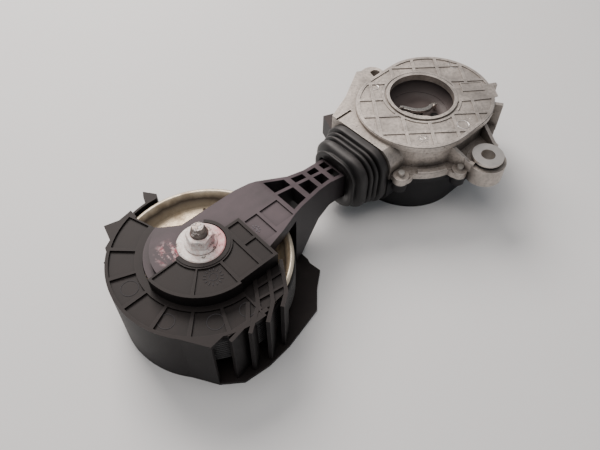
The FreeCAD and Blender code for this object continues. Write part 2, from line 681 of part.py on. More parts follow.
def housing_relief():
    """Low relief: a square grid of ribs, the rim, the window's lips, a blank panel and a ledge."""
    z = S.plate_top
    bars = [relief_bar(GRID_STEP * step, GRID_TURN) for step in range(-2, 3)]
    bars += [relief_bar(GRID_STEP * step - 1.5, GRID_TURN - 90) for step in range(-2, 3)]
    inside = oblong(S.plate_radius - 1, 0.6, z)
    band = cylinder(S.window_radius + 4.6, 2, *DRIVE, z=z)
    panel = padded([(24, 50.5), (46.2, 33.6), (39, 23.6), (33.4, 25.6), (15.6, 37.6)], 0.6, z=z)
    grid = cut(common(fuse(*bars), inside), band, panel)
    rim = cut(oblong(S.plate_radius - 0.4, 0.6, z), oblong(S.plate_radius - 2.4, 0.6, z))
    lip = tube(S.window_radius + 2, S.window_radius - 1, 1.3, *DRIVE, z=z)
    outer_lip = tube(S.window_radius + 4.6, S.window_radius + 3.2, 0.6, *DRIVE, z=z)
    label = cut(block(14.5, 8.4, 0.9, 25.6, 41.4, z + 0.2, turned_about_z(-37)),
                block(13.1, 7.0, 0.9, 26.6, 41.6, z + 0.8, turned_about_z(-37)))
    half = S.case_half
    ledge = ring_sector(S.flange_radius - 0.2, S.flange_radius - 2.9, 1.6, S.case_x - half, S.case_y,
                        S.flange_top, 225, 25)
    return fuse(grid, rim, lip, outer_lip, panel, label, ledge)


def front_ear():
    post = cylinder(S.ear_radius, S.ear_top - S.ear_low, 0, 0, S.ear_low)
    web = padded([
        (-11.6, 3), (-7, 20), (0, 34), (24, 34), (20, 18), (11.6, 3),
    ], 7, z=S.flange_low)
    ribs = []
    for turn, x in ((103, -10.4), (73, 12.6)):
        rib = side_padded([(0, 4), (24, 4), (24, 19), (19, 19), (3, 10.8), (0, 10.8)], 2.2)
        ribs.append(place(rib, x, 2, S.flange_low, turned_about_z(turn)))
    return fuse(post, web, *ribs)


def far_ear():
    x, y = S.far_ear_x, S.far_ear_y
    post = cylinder(S.far_ear_radius, 10, x, y, 6)
    web = padded([
        (-34, 80.5), (-2.5, 105.5), (14.8, 100), (22, 84), (-10, 78),
    ], 4, z=S.flange_low)
    cheek = padded([(-2, 100.6), (-4, 86), (19, 86), (15, 100.6)], 8, z=6)
    shoulder = padded([
        (-49.5, 80.5), (-49.5, 84.0), (-30, 91.5), (-7, 104.2), (0, 100), (-4, 88), (-20, 80),
    ], S.plate_low + 0.6 - S.flange_low, z=S.flange_low)
    return fuse(post, web, cheek, shoulder)


def far_slot(z, height):
    x, y, half = S.far_ear_x, S.far_ear_y, S.slot_half
    ends = [cylinder(S.slot_radius, height, x + shift, y, z) for shift in (-half, half)]
    return fuse(block(half * 2, S.slot_radius * 2, height, x - half, y - S.slot_radius, z), *ends)


def window_cutter(z, height):
    """The round window with one flat across its lower left edge."""
    opening = cylinder(S.window_radius, height, *DRIVE, z=z)
    turn = turned_about_z(30)
    corner = turn.multVec(Vector(-38.4, -30, 0))
    flat = block(20, 60, 60, S.drive_x + corner.x, S.drive_y + corner.y, z - 20, turn)
    return cut(opening, flat)


def side_ribs():
    ribs = []
    for degrees in (-28.5, -56.0):
        length = S.flange_radius + 0.8 - S.wall_radius + 2
        turn = math.radians(degrees)
        reach = number(S.wall_radius) - 2
        x = S.case_x + S.case_half + reach * math.cos(turn) + 1.2 * math.sin(turn)
        y = S.case_y + reach * math.sin(turn) - 1.2 * math.cos(turn)
        ribs.append(block(length, 2.4, S.plate_top - S.flange_low - 0.3, x, y, S.flange_low,
                          turned_about_z(degrees)))
    return ribs


def housing_pieces():
    low, top = S.flange_low, S.plate_top
    inner = S.wall_radius - S.wall
    room = oblong(inner, S.plate_low - low, low)
    plate = oblong(S.plate_radius, top - S.plate_low, S.plate_low)
    wall = oblong(S.wall_radius, S.plate_low - low, low)
    flange = oblong(S.flange_radius, S.flange_top - low, low)
    bosses = lugs(S.flange_top - low + 0.8, low) + lobes(S.flange_top - low - 0.4, low)
    neck = neck_block(low, number(S.plate_low) + 0.6)
    solid = fuse(plate, wall, flange, *bosses, neck, front_ear(), far_ear(), *side_ribs(), housing_relief())
    bush_room = cylinder(9.0, 24, S.wheel_x + 119, AXIS_Y, S.rod_z, ALONG_X)
    holes = [cylinder(S.screw_radius + 0.05, 20, x, y, low - 5) for x, y in screw_places()]
    sleeve_hole = cylinder(S.sleeve_radius + 1.22, 40, 0, 0, -10)
    node("housing", cut(solid, room, window_cutter(S.plate_low - 1, 9), bush_room, *holes, sleeve_hole,
                        far_slot(0, 30)))

    node("mounting_sleeve", turned([
        (S.sleeve_bore, 0), (S.sleeve_radius, 0), (S.sleeve_radius, S.sleeve_top - 2),
        (S.sleeve_flange, S.sleeve_top - 2), (S.sleeve_flange, S.sleeve_top), (S.sleeve_bore, S.sleeve_top),
    ]))
    node("sleeve_grommet", fuse(
        tube(S.sleeve_radius + 1.2, S.sleeve_radius + 0.02, S.ear_top - S.ear_low, 0, 0, S.ear_low),
        tube(8.8, S.sleeve_radius + 0.02, S.sleeve_top - 2 - S.ear_top, 0, 0, S.ear_top)))


def cover_pieces():
    top = S.cover_top
    rim = fuse(oblong(S.flange_radius - 0.6, 3, top - 3), *lugs(5, top - 5, S.boss_radius - 0.2))
    tub = oblong(S.tub_radius, top - 3 - S.cover_low, S.cover_low)
    neck = neck_block(-18.5, top)
    room = oblong(S.tub_radius - 2.5, top - S.cover_low - 2.5, S.cover_low + 2.5)
    pivot_boss = cylinder(4.6, S.gear_low - S.cover_low - 3.5, *DRIVE, z=S.cover_low + 2)
    posts = []
    for x in (-9.4, 13.2):
        posts.append(block(3, 9, S.worm_z - S.cover_low + 1.5, x, S.worm_y - 4.5, S.cover_low + 2))
    cradle = block(5, 15, S.worm_z - S.cover_low - 4, S.motor_from + 4, S.worm_y - 7.5, S.cover_low + 2)
    turn = turned_about_z(-23)
    corner = Vector(-46.2, 84.3, -11)
    shroud_tall = 15.4
    shroud = block(11, 20, shroud_tall, corner.x, corner.y, corner.z, turn)
    socket_place = corner + turn.multVec(Vector(1.5, 10.2, 1.5))
    socket = block(8, 10, shroud_tall - 3, socket_place.x, socket_place.y, socket_place.z, turn)
    pin_holes = []
    pins = []
    for index in range(4):
        for items, half, start in ((pin_holes, 0.46, 3.0), (pins, 0.45, 3.5)):
            at = corner + turn.multVec(Vector(2.65 + index * 1.9 - half, start, 7.7 - half))
            items.append(block(half * 2, 11.5, half * 2, at.x, at.y, at.z, turn))
    ear_room = cylinder(S.ear_radius + 0.5, 30, 0, 0, -24)
    bush_room = cylinder(9.0, 24, S.wheel_x + 119, AXIS_Y, S.rod_z, ALONG_X)
    holes = [cylinder(2.2, 20, x, y, top - 10) for x, y in screw_places()]
    holes += [cylinder(3.3, 30.4, x, y, top - 33) for x, y in screw_places()]
    hollow = cut(fuse(rim, tub, neck, shroud), room)
    motor_long = S.motor_to - S.motor_from
    motor_room = cylinder(S.motor_radius + 0.02, motor_long + 4.4, S.motor_from - 2, S.worm_y, S.worm_z,
                          ALONG_X)
    pivot_hole = cylinder(2.52, 14, *DRIVE, z=S.cover_low + 3)
    bearing_holes = cylinder(3.02, 40, -12, S.worm_y, S.worm_z, ALONG_X)
    drilled = cut(fuse(hollow, pivot_boss, *posts, cradle), ear_room, motor_room, bush_room, *holes,
                  socket, *pin_holes, pivot_hole, bearing_holes)
    node("bottom_cover", drilled)
    node("connector_pins", fuse(*pins))

    ring = fuse(oblong(S.flange_radius - 0.3, 1, top), *lugs(1, top, S.boss_radius - 0.2))
    notch = corner - turn.multVec(Vector(0.3, 0.3, 0))
    shroud_room = block(11.6, 20.6, shroud_tall + 4, notch.x, notch.y, notch.z, turn)
    node("cover_gasket", cut(ring, shroud_room, oblong(S.wall_radius - S.wall, 1, top), bush_room,
                             cylinder(S.ear_radius + 0.4, 30, 0, 0, -20),
                             *[cylinder(2.2, 20, x, y, -5) for x, y in screw_places()]))
    screws = []
    for x, y in screw_places():
        shank = cylinder(S.screw_radius, 12.4, x, y, top - 4)
        screws.append(fuse(cylinder(3.0, 2.1, x, y, top - 4.7), shank))
    node("cover_screws", fuse(*screws))


# ---------------------------------------------------------------- drive
def toothed(radius, height, teeth, x, y, z):
    """A plain gear: a disc with round-rooted gaps cut around it."""
    disc = cylinder(radius, height, x, y, z)
    gaps = []
    for index in range(teeth):
        turn = 2 * math.pi * (index + 0.5) / teeth
        gaps.append(cylinder(radius * (1.1 / teeth), height, x + radius * math.cos(turn),
                             y + radius * math.sin(turn), z))
    return cut(disc, fuse(*gaps))


GEAR_TEETH = 36


def eccentric_pieces():
    x, y = DRIVE
    pin_y = y + S.crank
    wheel = toothed(S.gear_radius, S.gear_top - S.gear_low, GEAR_TEETH, x, y, S.gear_low)
    crank = fuse(cylinder(5, 2, x, pin_y, S.gear_top - 2), wheel)
    node("eccentric_gear", cut(crank, cylinder(4.02, 20, x, y, S.gear_low - 5),
                               cylinder(S.crank_pin, 20, x, pin_y, S.gear_low + 2)))
    node("gear_bush", tube(4.0, 2.55, S.gear_top - S.gear_low, x, y, S.gear_low))
    pin_low = S.gear_low + 2.2
    node("crank_pin", cylinder(S.crank_pin, S.dish_low + 2.5 - pin_low, x, pin_y, pin_low))
    node("crank_slider", tube(S.slider, S.crank_pin + 0.03, 12.4, x, pin_y, S.rod_z - 6.6))
    dish = turned([
        (0, S.dish_low), (S.dish_radius - 1, S.dish_low), (S.dish_radius, S.dish_low + 1),
        (S.dish_radius, S.dish_top), (S.dish_radius - 1.6, S.dish_top),
        (S.dish_radius - 4, S.dish_low + 3.6),
        (0, S.dish_low + 3),
    ], *DRIVE)
    rim_low = S.dish_top + 0.4
    node("window_shroud", turned([
        (S.dish_radius - 0.3, rim_low), (S.dish_radius + 1.2, rim_low),
        (S.window_radius + 2.6, rim_low + 3), (S.window_radius + 2.6, S.plate_low), (S.window_radius + 0.9, S.plate_low),
        (S.window_radius + 0.9, rim_low + 3.6),
    ], *DRIVE))
    recess = cylinder(3.6, 12, x - 12, y - 5.4, S.dish_low + 1)
    node("eccentric_dish", cut(dish, recess, cylinder(S.crank_pin + 0.01, 2.6, x, pin_y, S.dish_low)))
    clip_z = S.dish_low + 3.62
    clip = fuse(ring_sector(14.4, 10.4, 1.0, x, y, clip_z, 212, 66),
                ring_sector(14.4, 13.2, 3.4, x, y, clip_z, 216, 14),
                ring_sector(14.4, 13.2, 3.4, x, y, clip_z, 262, 14))
    node("drive_clip", clip)
    node("pivot_pin", cylinder(2.5, S.gear_top - S.cover_low - 3.2, x, y, S.cover_low + 3.1))


def motor_pieces():
    y, z = S.worm_y, S.worm_z
    start, end = S.motor_from, S.motor_to
    radius = S.motor_radius
    turn = ALONG_X
    can = fuse(tube(radius, radius - 1, end - start, start, y, z, turn),
               tube(radius, 3.02, 1, start, y, z, turn))
    node("motor_can", can)
    node("motor_end_cap", tube(radius, 1.8, 2.2, end, y, z, turn))
    magnets = []
    for tilt in (30, 210):
        bar = cut(cylinder(radius - 1.02, 11, 0, 0, 0, None, 120), cylinder(6.6, 11, 0, 0, 0))
        bar.Placement = Placement(Vector(number(start) + 3, number(y), number(z)), turn).multiply(
            Placement(Vector(), turned_about_z(tilt)))
        magnets.append(bar)
    node("motor_magnets", fuse(*magnets))
    node("armature", tube(6.0, 1.52, 10, start + 3.5, y, z, turn))
    node("commutator", tube(3.0, 1.52, 3.4, start + 13.8, y, z, turn))
    brushes = [block(2.4, 2, 2.6, start + 14.2, y + side, z - 1.3) for side in (3.4, -5.4)]
    node("motor_brushes", fuse(*brushes))
    shaft = cylinder(1.5, 46, -9.2, y, z, turn)
    worm = cylinder(S.worm_radius, 14, -4, y, z, turn)
    grooves = []
    for index in range(9):
        ring = ring_bar(S.worm_radius + 0.1, 0.5)
        place(ring, -3.2 + index * 1.55, y, z, turn)
        grooves.append(ring)
    node("worm_shaft", fuse(shaft, cut(worm, *grooves)))
    bushes = [tube(3.0, 1.55, long, x, y, z, turn) for x, long in ((-9.4, 3), (13.2, 3.8))]
    node("worm_bearings", fuse(*bushes))


def guide_bush():
    node("guide_bush", tube(8.98, S.rod_radius + 0.05, 11, S.wheel_x + 120.5, AXIS_Y, S.rod_z, ALONG_X))


# ---------------------------------------------------------------- make and check
def write_parts():
    doc.recompute()
    failed = [item.Name for item in doc.Objects if {"Invalid", "Error"} & set(item.State)]
    if failed:
        raise RuntimeError("failed objects: " + ", ".join(failed))
    os.makedirs("parts", exist_ok=True)
    for name, item in sorted(NODES.items()):
        shape = item.Shape
        if shape.isNull() or not shape.isValid() or not shape.Solids:
            raise RuntimeError(name + " has no valid solid")
        print(name, "solids", len(shape.Solids), "volume", round(shape.Volume, 1))
        shape.exportStep("parts/" + name + ".step")


wheel_pieces()
axle_pieces()
arm_pieces()
rod_pieces()
guard_pieces()
bellows_pieces()
housing_pieces()
cover_pieces()
eccentric_pieces()
motor_pieces()
guide_bush()
write_parts()
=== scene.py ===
"""Finished surfaces for a belt tensioner idler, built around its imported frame.

Lengths in the settings are metres. Profiles and outlines inside the operators are in
millimetres about the wheel's axle or the drive's axis, and MM turns them into metres."""

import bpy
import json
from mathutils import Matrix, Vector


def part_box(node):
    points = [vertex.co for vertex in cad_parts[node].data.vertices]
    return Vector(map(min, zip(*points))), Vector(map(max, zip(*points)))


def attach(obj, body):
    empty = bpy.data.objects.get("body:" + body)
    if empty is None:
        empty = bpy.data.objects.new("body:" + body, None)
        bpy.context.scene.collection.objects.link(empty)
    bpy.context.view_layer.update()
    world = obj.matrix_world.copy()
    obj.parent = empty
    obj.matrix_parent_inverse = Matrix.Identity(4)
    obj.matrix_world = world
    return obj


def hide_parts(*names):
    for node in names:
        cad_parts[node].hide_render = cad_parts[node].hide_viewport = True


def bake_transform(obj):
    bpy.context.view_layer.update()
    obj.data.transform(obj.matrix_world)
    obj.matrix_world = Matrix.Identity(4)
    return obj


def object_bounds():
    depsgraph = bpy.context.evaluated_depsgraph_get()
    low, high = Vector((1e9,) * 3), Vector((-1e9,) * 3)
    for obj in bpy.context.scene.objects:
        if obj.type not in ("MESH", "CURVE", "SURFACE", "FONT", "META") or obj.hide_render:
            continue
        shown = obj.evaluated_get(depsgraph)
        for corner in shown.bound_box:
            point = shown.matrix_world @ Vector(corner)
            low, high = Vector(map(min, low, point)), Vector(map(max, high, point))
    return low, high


bl_info = {
    "name": "Belt tensioner idler",
    "version": (1, 0, 0),
    "blender": (4, 5, 0),
    "location": "View3D > Sidebar > Idler",
    "description": "Detailed pieces, finishes and a studio for a belt tensioner idler",
    "category": "Object",
}

import json
import math

import bmesh
import bpy
from mathutils import Matrix, Vector, noise

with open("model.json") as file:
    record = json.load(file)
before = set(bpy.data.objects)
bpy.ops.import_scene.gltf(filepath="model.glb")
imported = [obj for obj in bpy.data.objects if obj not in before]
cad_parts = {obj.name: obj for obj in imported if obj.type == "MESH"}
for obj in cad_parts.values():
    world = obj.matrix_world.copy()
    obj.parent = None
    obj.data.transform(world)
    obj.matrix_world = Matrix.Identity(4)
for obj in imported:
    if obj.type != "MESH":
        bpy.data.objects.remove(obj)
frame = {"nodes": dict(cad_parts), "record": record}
CAD_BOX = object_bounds()
MM = 0.001


def middle_of(node):
    low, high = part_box(node)
    return (low + high) / 2


AXLE = middle_of("axle_stud")
DRIVE = middle_of("pivot_pin")
FLOOR_Z = CAD_BOX[0].z
ARM_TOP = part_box("washer")[0].z
WASHER_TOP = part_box("washer")[1].z
# levels of flat faces inside nodes, and the middle of the arm's inner end
RING_POCKET = 14.4 * MM
SECTOR_POCKET = 23.1 * MM
ARM_POCKET = ARM_TOP - 0.9 * MM
PLATE_TOP = 26.0 * MM
ARM_END_Z = 3.0 * MM
# the middle of the paint dragged over the arm, about the axle, and the way its pink side lies
PAINT_SPOT = (-14.5 * MM, 6.5 * MM)
PINK_SIDE = (66.0, -46.0, 0.0)
LIGHT_COLOUR = (1.0, 0.93, 0.88)
SKY_COLOUR = (0.86, 0.90, 0.95, 1.0)


# ---------------------------------------------------------------- finishes
class Wire:
    """A value on its way through a finish; sums and products add Math nodes."""

    def __init__(self, finish, socket):
        self.finish = finish
        self.socket = socket

    def maths(self, operation, first, second):
        return self.finish.node("ShaderNodeMath", {"operation": operation}, {0: first, 1: second})

    def __add__(self, other):
        return self.maths("ADD", self, other)

    def __radd__(self, other):
        return self.maths("ADD", other, self)

    def __sub__(self, other):
        return self.maths("SUBTRACT", self, other)

    def __rsub__(self, other):
        return self.maths("SUBTRACT", other, self)

    def __mul__(self, other):
        return self.maths("MULTIPLY", self, other)

    def __truediv__(self, other):
        return self.maths("DIVIDE", self, other)


class Finish:
    """The nodes of one material around one Principled surface."""

    def __init__(self, name):
        self.material = bpy.data.materials.new(name)
        self.material.use_nodes = True
        self.tree = self.material.node_tree
        self.tree.nodes.clear()
        output = self.tree.nodes.new("ShaderNodeOutputMaterial")
        self.surface = self.tree.nodes.new("ShaderNodeBsdfPrincipled")
        self.tree.links.new(self.surface.outputs[0], output.inputs["Surface"])
        self.place = self.node("ShaderNodeTexCoord", out="Object")
        self.facing = self.node("ShaderNodeNewGeometry", out="Normal")

    @classmethod
    def over(cls, material):
        """The same tools for a material that is already made."""
        finish = cls.__new__(cls)
        finish.material = material
        finish.tree = material.node_tree
        finish.surface = next(item for item in finish.tree.nodes if item.type == "BSDF_PRINCIPLED")
        finish.place = finish.node("ShaderNodeTexCoord", out="Object")
        finish.facing = finish.node("ShaderNodeNewGeometry", out="Normal")
        return finish

    def source(self, name):
        """What a socket of the surface is fed with now."""
        return Wire(self, self.surface.inputs[name].links[0].from_socket)

    def node(self, kind, settings=None, sockets=None, out=0):
        """Any node: its type, its settings, then the values or wires of its sockets."""
        item = self.tree.nodes.new(kind)
        for key, value in (settings or {}).items():
            if key == "stops":
                self.set_stops(item.color_ramp, value)
            else:
                setattr(item, key, value)
        for key, value in (sockets or {}).items():
            self.feed(item.inputs[key], value)
        return Wire(self, item.outputs[out])

    def set_stops(self, ramp, stops):
        while len(ramp.elements) < len(stops):
            ramp.elements.new(1.0)
        for element, (position, level) in zip(ramp.elements, stops):
            element.position = position
            element.color = (level, level, level, 1.0)

    def feed(self, socket, value):
        if isinstance(value, Wire):
            self.tree.links.new(value.socket, socket)
        else:
            socket.default_value = value

    def set(self, **sockets):
        """Feed the surface's sockets, named with underscores for their spaces."""
        for name, value in sockets.items():
            self.feed(self.surface.inputs[name.replace("_", " ")], value)
        return self.material

    def ramp(self, value, *stops):
        return self.node("ShaderNodeValToRGB", {"stops": stops}, {0: value})

    def blend(self, mask, low, high):
        return self.node("ShaderNodeMix", {"data_type": "RGBA"}, {0: mask, 6: low, 7: high}, out=2)

    def clamped(self, value):
        return self.node("ShaderNodeClamp", None, {0: value})

    def shaded(self, mask, colour, dark, light):
        """A colour that drifts between a darker and a lighter shade of itself."""
        drift = self.ramp(mask, (0.32, 0.0), (0.70, 1.0))
        return self.blend(drift, lighter(colour, dark), lighter(colour, light))

    def clouds(self, size, detail=3.0, roughness=0.55, place=None):
        sockets = {"Vector": place or self.place, "Scale": 1 / size, "Detail": detail,
                   "Roughness": roughness}
        return self.node("ShaderNodeTexNoise", None, sockets)

    def cells(self, size):
        sockets = {"Vector": self.place, "Scale": 1 / size}
        return self.node("ShaderNodeTexVoronoi", None, sockets, out="Distance")

    def stretched(self, along, turn=(0.0, 0.0, 0.0)):
        return self.node("ShaderNodeMapping", None, {"Vector": self.place, "Scale": along, "Rotation": turn})

    def upward(self):
        return self.node("ShaderNodeSeparateXYZ", None, {0: self.facing}, out="Z")

    def vector(self, operation, *values, out="Value"):
        settings = {"operation": operation}
        return self.node("ShaderNodeVectorMath", settings, dict(enumerate(values)), out=out)

    def away_from(self, x, y):
        """Way out from a vertical axis in metres, as a value that changes over the surface."""
        centred = self.vector("MULTIPLY_ADD", self.place, (1.0, 1.0, 0.0), (-x, -y, 0.0), out="Vector")
        return self.vector("LENGTH", centred)

    def edges(self, radius, gain=2.2):
        """Near one at corners and creases, zero on open faces."""
        soft = self.node("ShaderNodeBevel", {"samples": 4}, {"Radius": radius})
        return self.clamped((1 - self.vector("DOT_PRODUCT", soft, self.facing)) * gain)

    def hollows(self, reach):
        """Near one in corners and recesses, zero where the surface stands free."""
        free = self.node("ShaderNodeAmbientOcclusion", {"samples": 6}, {"Distance": reach}, out="AO")
        return 1 - free

    def bump(self, height, depth):
        return self.node("ShaderNodeBump", None, {"Height": height, "Distance": depth})


def shade(red, green, blue):
    return (red, green, blue, 1.0)


def lighter(colour, factor):
    return tuple(min(1.0, part * factor) for part in colour[:3]) + (1.0,)


def moulded(name, colour, dust=0.35, gloss=0.42, film_colour=shade(0.30, 0.23, 0.215), edge=2.6):
    """Glass-filled moulded plastic: satin, finely grained, dusty above, with painted shade in its hollows and
    paler edges that are partly worn and partly a painted highlight.
    """
    finish = Finish(name)
    mottle = finish.clouds(0.020, 4)
    speck = finish.clouds(0.0011, 2)
    wipes = finish.clouds(0.009, 3, 0.5, finish.stretched((0.6, 1.4, 1.0), (0.0, 0.0, 0.7)))
    edges = finish.edges(0.0006)
    hollows = finish.hollows(0.008)
    body = finish.shaded(mottle, colour, 0.88, 1.12)
    above = finish.ramp(finish.upward(), (0.55, 0.0), (0.98, 1.0))
    settled = finish.ramp(mottle * 0.6 + wipes * 0.4, (0.34, 0.45), (0.66, 1.0))
    film = above * settled * (1 - hollows * 0.6) * dust
    dusty = finish.blend(film, body, film_colour)
    # edges lightened in specks: partly edge wear, partly a painted highlight
    edge_wear_and_highlight = finish.blend(edges * speck * 0.6, dusty, lighter(colour, edge))
    # painted shade: the colour darkened in corners and recesses
    painted_hollow_shade = finish.blend(hollows * 0.78, edge_wear_and_highlight, lighter(colour, 0.22))
    rough = gloss + mottle * 0.10 + film * 0.25
    relief = finish.bump(finish.clouds(0.00045, 2), 0.00003)
    return finish.set(Base_Color=painted_hollow_shade, Roughness=rough, Normal=relief, Specular_IOR_Level=0.17)


def cast_metal(name, colour):
    """Die-cast aluminium: satin skin with soft mottling, painted shade in the corners with a few dark pits,
    bright edges.
    """
    finish = Finish(name)
    mottle = finish.clouds(0.012, 6, 0.62)
    flow = finish.clouds(0.034, 4, 0.6, finish.stretched((0.6, 1.5, 1.0), (0.0, 0.0, -0.6)))
    skin = finish.clouds(0.0018, 4, 0.65)
    pits = finish.ramp(finish.cells(0.0033), (0.06, 1.0), (0.16, 0.0))
    rare = finish.ramp(finish.clouds(0.009, 2), (0.55, 0.0), (0.61, 1.0))
    edges = finish.edges(0.0008, 2.6)
    hollows = finish.hollows(0.009)
    patches = finish.ramp(mottle * 0.55 + flow * 0.45, (0.36, 0.0), (0.64, 1.0))
    body = finish.blend(patches, lighter(colour, 0.66), lighter(colour, 1.12))
    flecked = finish.blend(finish.ramp(skin, (0.46, 0.0), (0.66, 0.55)), body, lighter(colour, 0.45))
    bright = finish.blend(edges * 0.62, flecked, shade(0.95, 0.91, 0.87))
    # painted shade in corners and recesses, with dark pits in a few places
    hollow_shade_and_pits = hollows * 1.05 + pits * rare * 0.7
    darkened = finish.blend(finish.clamped(hollow_shade_and_pits), bright, shade(0.085, 0.070, 0.060))
    rough = 0.42 + patches * 0.14 + hollows * 0.2 - edges * 0.10
    relief = finish.bump(skin + mottle * 0.8 - pits * rare * 1.5, 0.00016)
    return finish.set(Base_Color=darkened, Roughness=rough, Metallic=0.80, Normal=relief)


def rubber(name, colour, dust=0.3):
    """Satin black rubber with a dusty bloom above, a soft sheen in its grain and painted shade in its
    hollows.
    """
    finish = Finish(name)
    mottle = finish.clouds(0.009, 5, 0.6)
    grain = finish.clouds(0.0006, 3)
    hollows = finish.hollows(0.005)
    above = finish.ramp(finish.upward(), (0.25, 0.0), (0.95, 1.0))
    bloom = above * finish.ramp(mottle, (0.35, 0.2), (0.7, 1.0)) * dust * (1 - hollows * 0.8)
    body = finish.shaded(mottle, colour, 0.75, 1.3)
    dusty = finish.blend(bloom, body, shade(0.24, 0.21, 0.205))
    # painted shade: the rubber darkened in its hollows
    rubber_hollow_shade = finish.blend(hollows * 0.8, dusty, lighter(colour, 0.2))
    rough = 0.38 + mottle * 0.2 + bloom * 0.4
    relief = finish.bump(grain + mottle * 0.5, 0.00002)
    return finish.set(Base_Color=rubber_hollow_shade, Roughness=rough, Normal=relief, Specular_IOR_Level=0.5)


def steel(name, colour, rough=0.32, stain=shade(0.16, 0.10, 0.06), amount=0.35):
    """Plated or ground steel with fine handling marks and a little brown in its corners."""
    finish = Finish(name)
    mottle = finish.clouds(0.006, 5, 0.6)
    marks = finish.clouds(0.0012, 3, 0.7, finish.stretched((1.0, 1.0, 7.0)))
    hollows = finish.hollows(0.0035)
    body = finish.blend(mottle, lighter(colour, 0.78), lighter(colour, 1.15))
    rust = finish.ramp(mottle + hollows * 0.4, (0.62, 0.0), (0.82, 1.0)) * amount
    aged = finish.blend(rust + hollows * 0.3, body, stain)
    relief = finish.bump(marks + mottle * 0.5, 0.00004)
    return finish.set(Base_Color=aged, Roughness=rough + marks * 0.16 + rust * 0.3, Metallic=1 - rust * 0.8,
                      Normal=relief)


def pressed_dish(name, colour):
    """The wheel's pressed steel: yellow passivation, turned sheen, dark specks and stains, a painted shadow
    band under the rim and painted shade in its hollows.
    """
    finish = Finish(name)
    radius = finish.away_from(AXLE.x, AXLE.y)
    rings = finish.node("ShaderNodeTexNoise", {"noise_dimensions": "1D"},
                        {"W": radius, "Scale": 900.0, "Detail": 4.0})
    mottle = finish.clouds(0.016, 6, 0.65)
    stains = finish.ramp(finish.clouds(0.014, 6, 0.7), (0.46, 0.0), (0.62, 1.0))
    specks = finish.ramp(finish.cells(0.008), (0.09, 1.0), (0.14, 0.0))
    chosen = finish.ramp(finish.clouds(0.013, 1), (0.46, 0.0), (0.53, 1.0))
    hollows = finish.hollows(0.012)
    bowl_from, bowl_wide = 38.0, 14.0
    share = (radius / MM + mottle * 3.0 - bowl_from) / bowl_wide
    # a painted shadow: a dark, dull band round the inner wall under the rim
    rim_shadow_band = finish.ramp(share, (0.0, 0.0), (0.28, 0.10), (0.42, 0.55), (0.52, 0.97), (0.67, 0.0))
    body = finish.shaded(mottle, colour, 0.72, 1.25)
    rim = finish.ramp(share, (0.66, 0.0), (0.72, 1.0))
    creamy = finish.blend(rim * 0.75, body, shade(0.72, 0.66, 0.55))
    turned = finish.blend(rings * 0.35, creamy, lighter(colour, 1.45))
    darkened = finish.blend(stains * 0.42, turned, shade(0.22, 0.14, 0.07))
    rim_shadowed = finish.blend(rim_shadow_band, darkened, shade(0.040, 0.027, 0.018))
    # dark specks in a few places, and painted shade in the hollows
    specked_and_shaded = finish.blend(finish.clamped(specks * chosen + hollows * 0.40), rim_shadowed,
                         shade(0.06, 0.04, 0.03))
    rough = 0.36 + mottle * 0.14 + stains * 0.16 + rim_shadow_band * 0.2
    relief = finish.bump(rings + mottle * 0.8 - specks * chosen * 2, 0.00005)
    return finish.set(Base_Color=specked_and_shaded, Roughness=rough, Metallic=0.75 - rim_shadow_band * 0.75, Normal=relief)


def paint_mark(name, cover):
    """White marking paint, pink in places, thick and chipped over plated steel, with painted shade in its
    creases.
    """
    finish = Finish(name)
    lumps = finish.clouds(0.0040, 5, 0.65)
    flow = finish.clouds(0.0014, 4, 0.6, finish.stretched((1.0, 0.5, 0.5)))
    wear = finish.clouds(0.0050, 6, 0.70)
    chips = finish.ramp(wear, (0.36 + cover, 1.0), (0.40 + cover, 0.0))
    centred = finish.vector("SUBTRACT", finish.place, tuple(AXLE), out="Vector")
    side = finish.vector("DOT_PRODUCT", centred, PINK_SIDE)
    pink = finish.ramp(lumps * 0.9 + side * 0.5, (0.50, 0.0), (0.92, 1.0))
    white = finish.blend(finish.ramp(flow, (0.36, 0.0), (0.60, 1.0)), shade(0.80, 0.66, 0.61),
                         shade(1.0, 0.95, 0.91))
    rosy = finish.blend(pink * 0.70, white, shade(0.66, 0.16, 0.19))
    hollows = finish.hollows(0.0035)
    # painted shade: the paint darkened in creases and recesses
    crease_shade = finish.ramp(hollows + flow * 0.3, (0.42, 0.0), (0.74, 1.0))
    metal = finish.blend(flow, shade(0.16, 0.12, 0.10), shade(0.40, 0.35, 0.32))
    coat = finish.blend(crease_shade * 0.85, rosy, shade(0.13, 0.06, 0.05))
    relief = finish.bump(flow * 0.4 + chips * 0.9 + lumps * 0.5, 0.00018)
    return finish.set(Base_Color=finish.blend(chips, metal, coat), Metallic=(1 - chips) * 0.8,
                      Roughness=0.36 + chips * 0.16 + lumps * 0.1, Normal=relief)


def arm_finish(name, colour, dust):
    """The arm's plastic: an even mauve-grey film, with marking paint dragged over its head."""
    material = moulded(name, colour, dust, 0.34, film_colour=shade(0.150, 0.116, 0.128))
    finish = Finish.over(material)
    before = finish.source("Base Color")
    away = finish.away_from(AXLE.x + PAINT_SPOT[0], AXLE.y + PAINT_SPOT[1])
    drags = finish.clouds(0.0060, 5, 0.7, finish.stretched((1.6, 0.7, 1.0), (0.0, 0.0, 0.5)))
    crust = finish.clouds(0.0022, 4, 0.65)
    near = finish.ramp(away * 100.0, (0.45, 1.0), (1.0, 0.0))
    patch = finish.ramp(drags * 0.62 + crust * 0.30, (0.455, 0.0), (0.53, 1.0)) * near
    upper = finish.ramp(finish.upward(), (0.6, 0.0), (0.9, 1.0))
    thick = finish.ramp(crust, (0.42, 0.0), (0.62, 1.0))
    paint = finish.blend(thick, shade(0.50, 0.10, 0.13), shade(0.80, 0.62, 0.62))
    finish.feed(finish.surface.inputs["Base Color"], finish.blend(patch * upper * 0.72, before, paint))
    return material


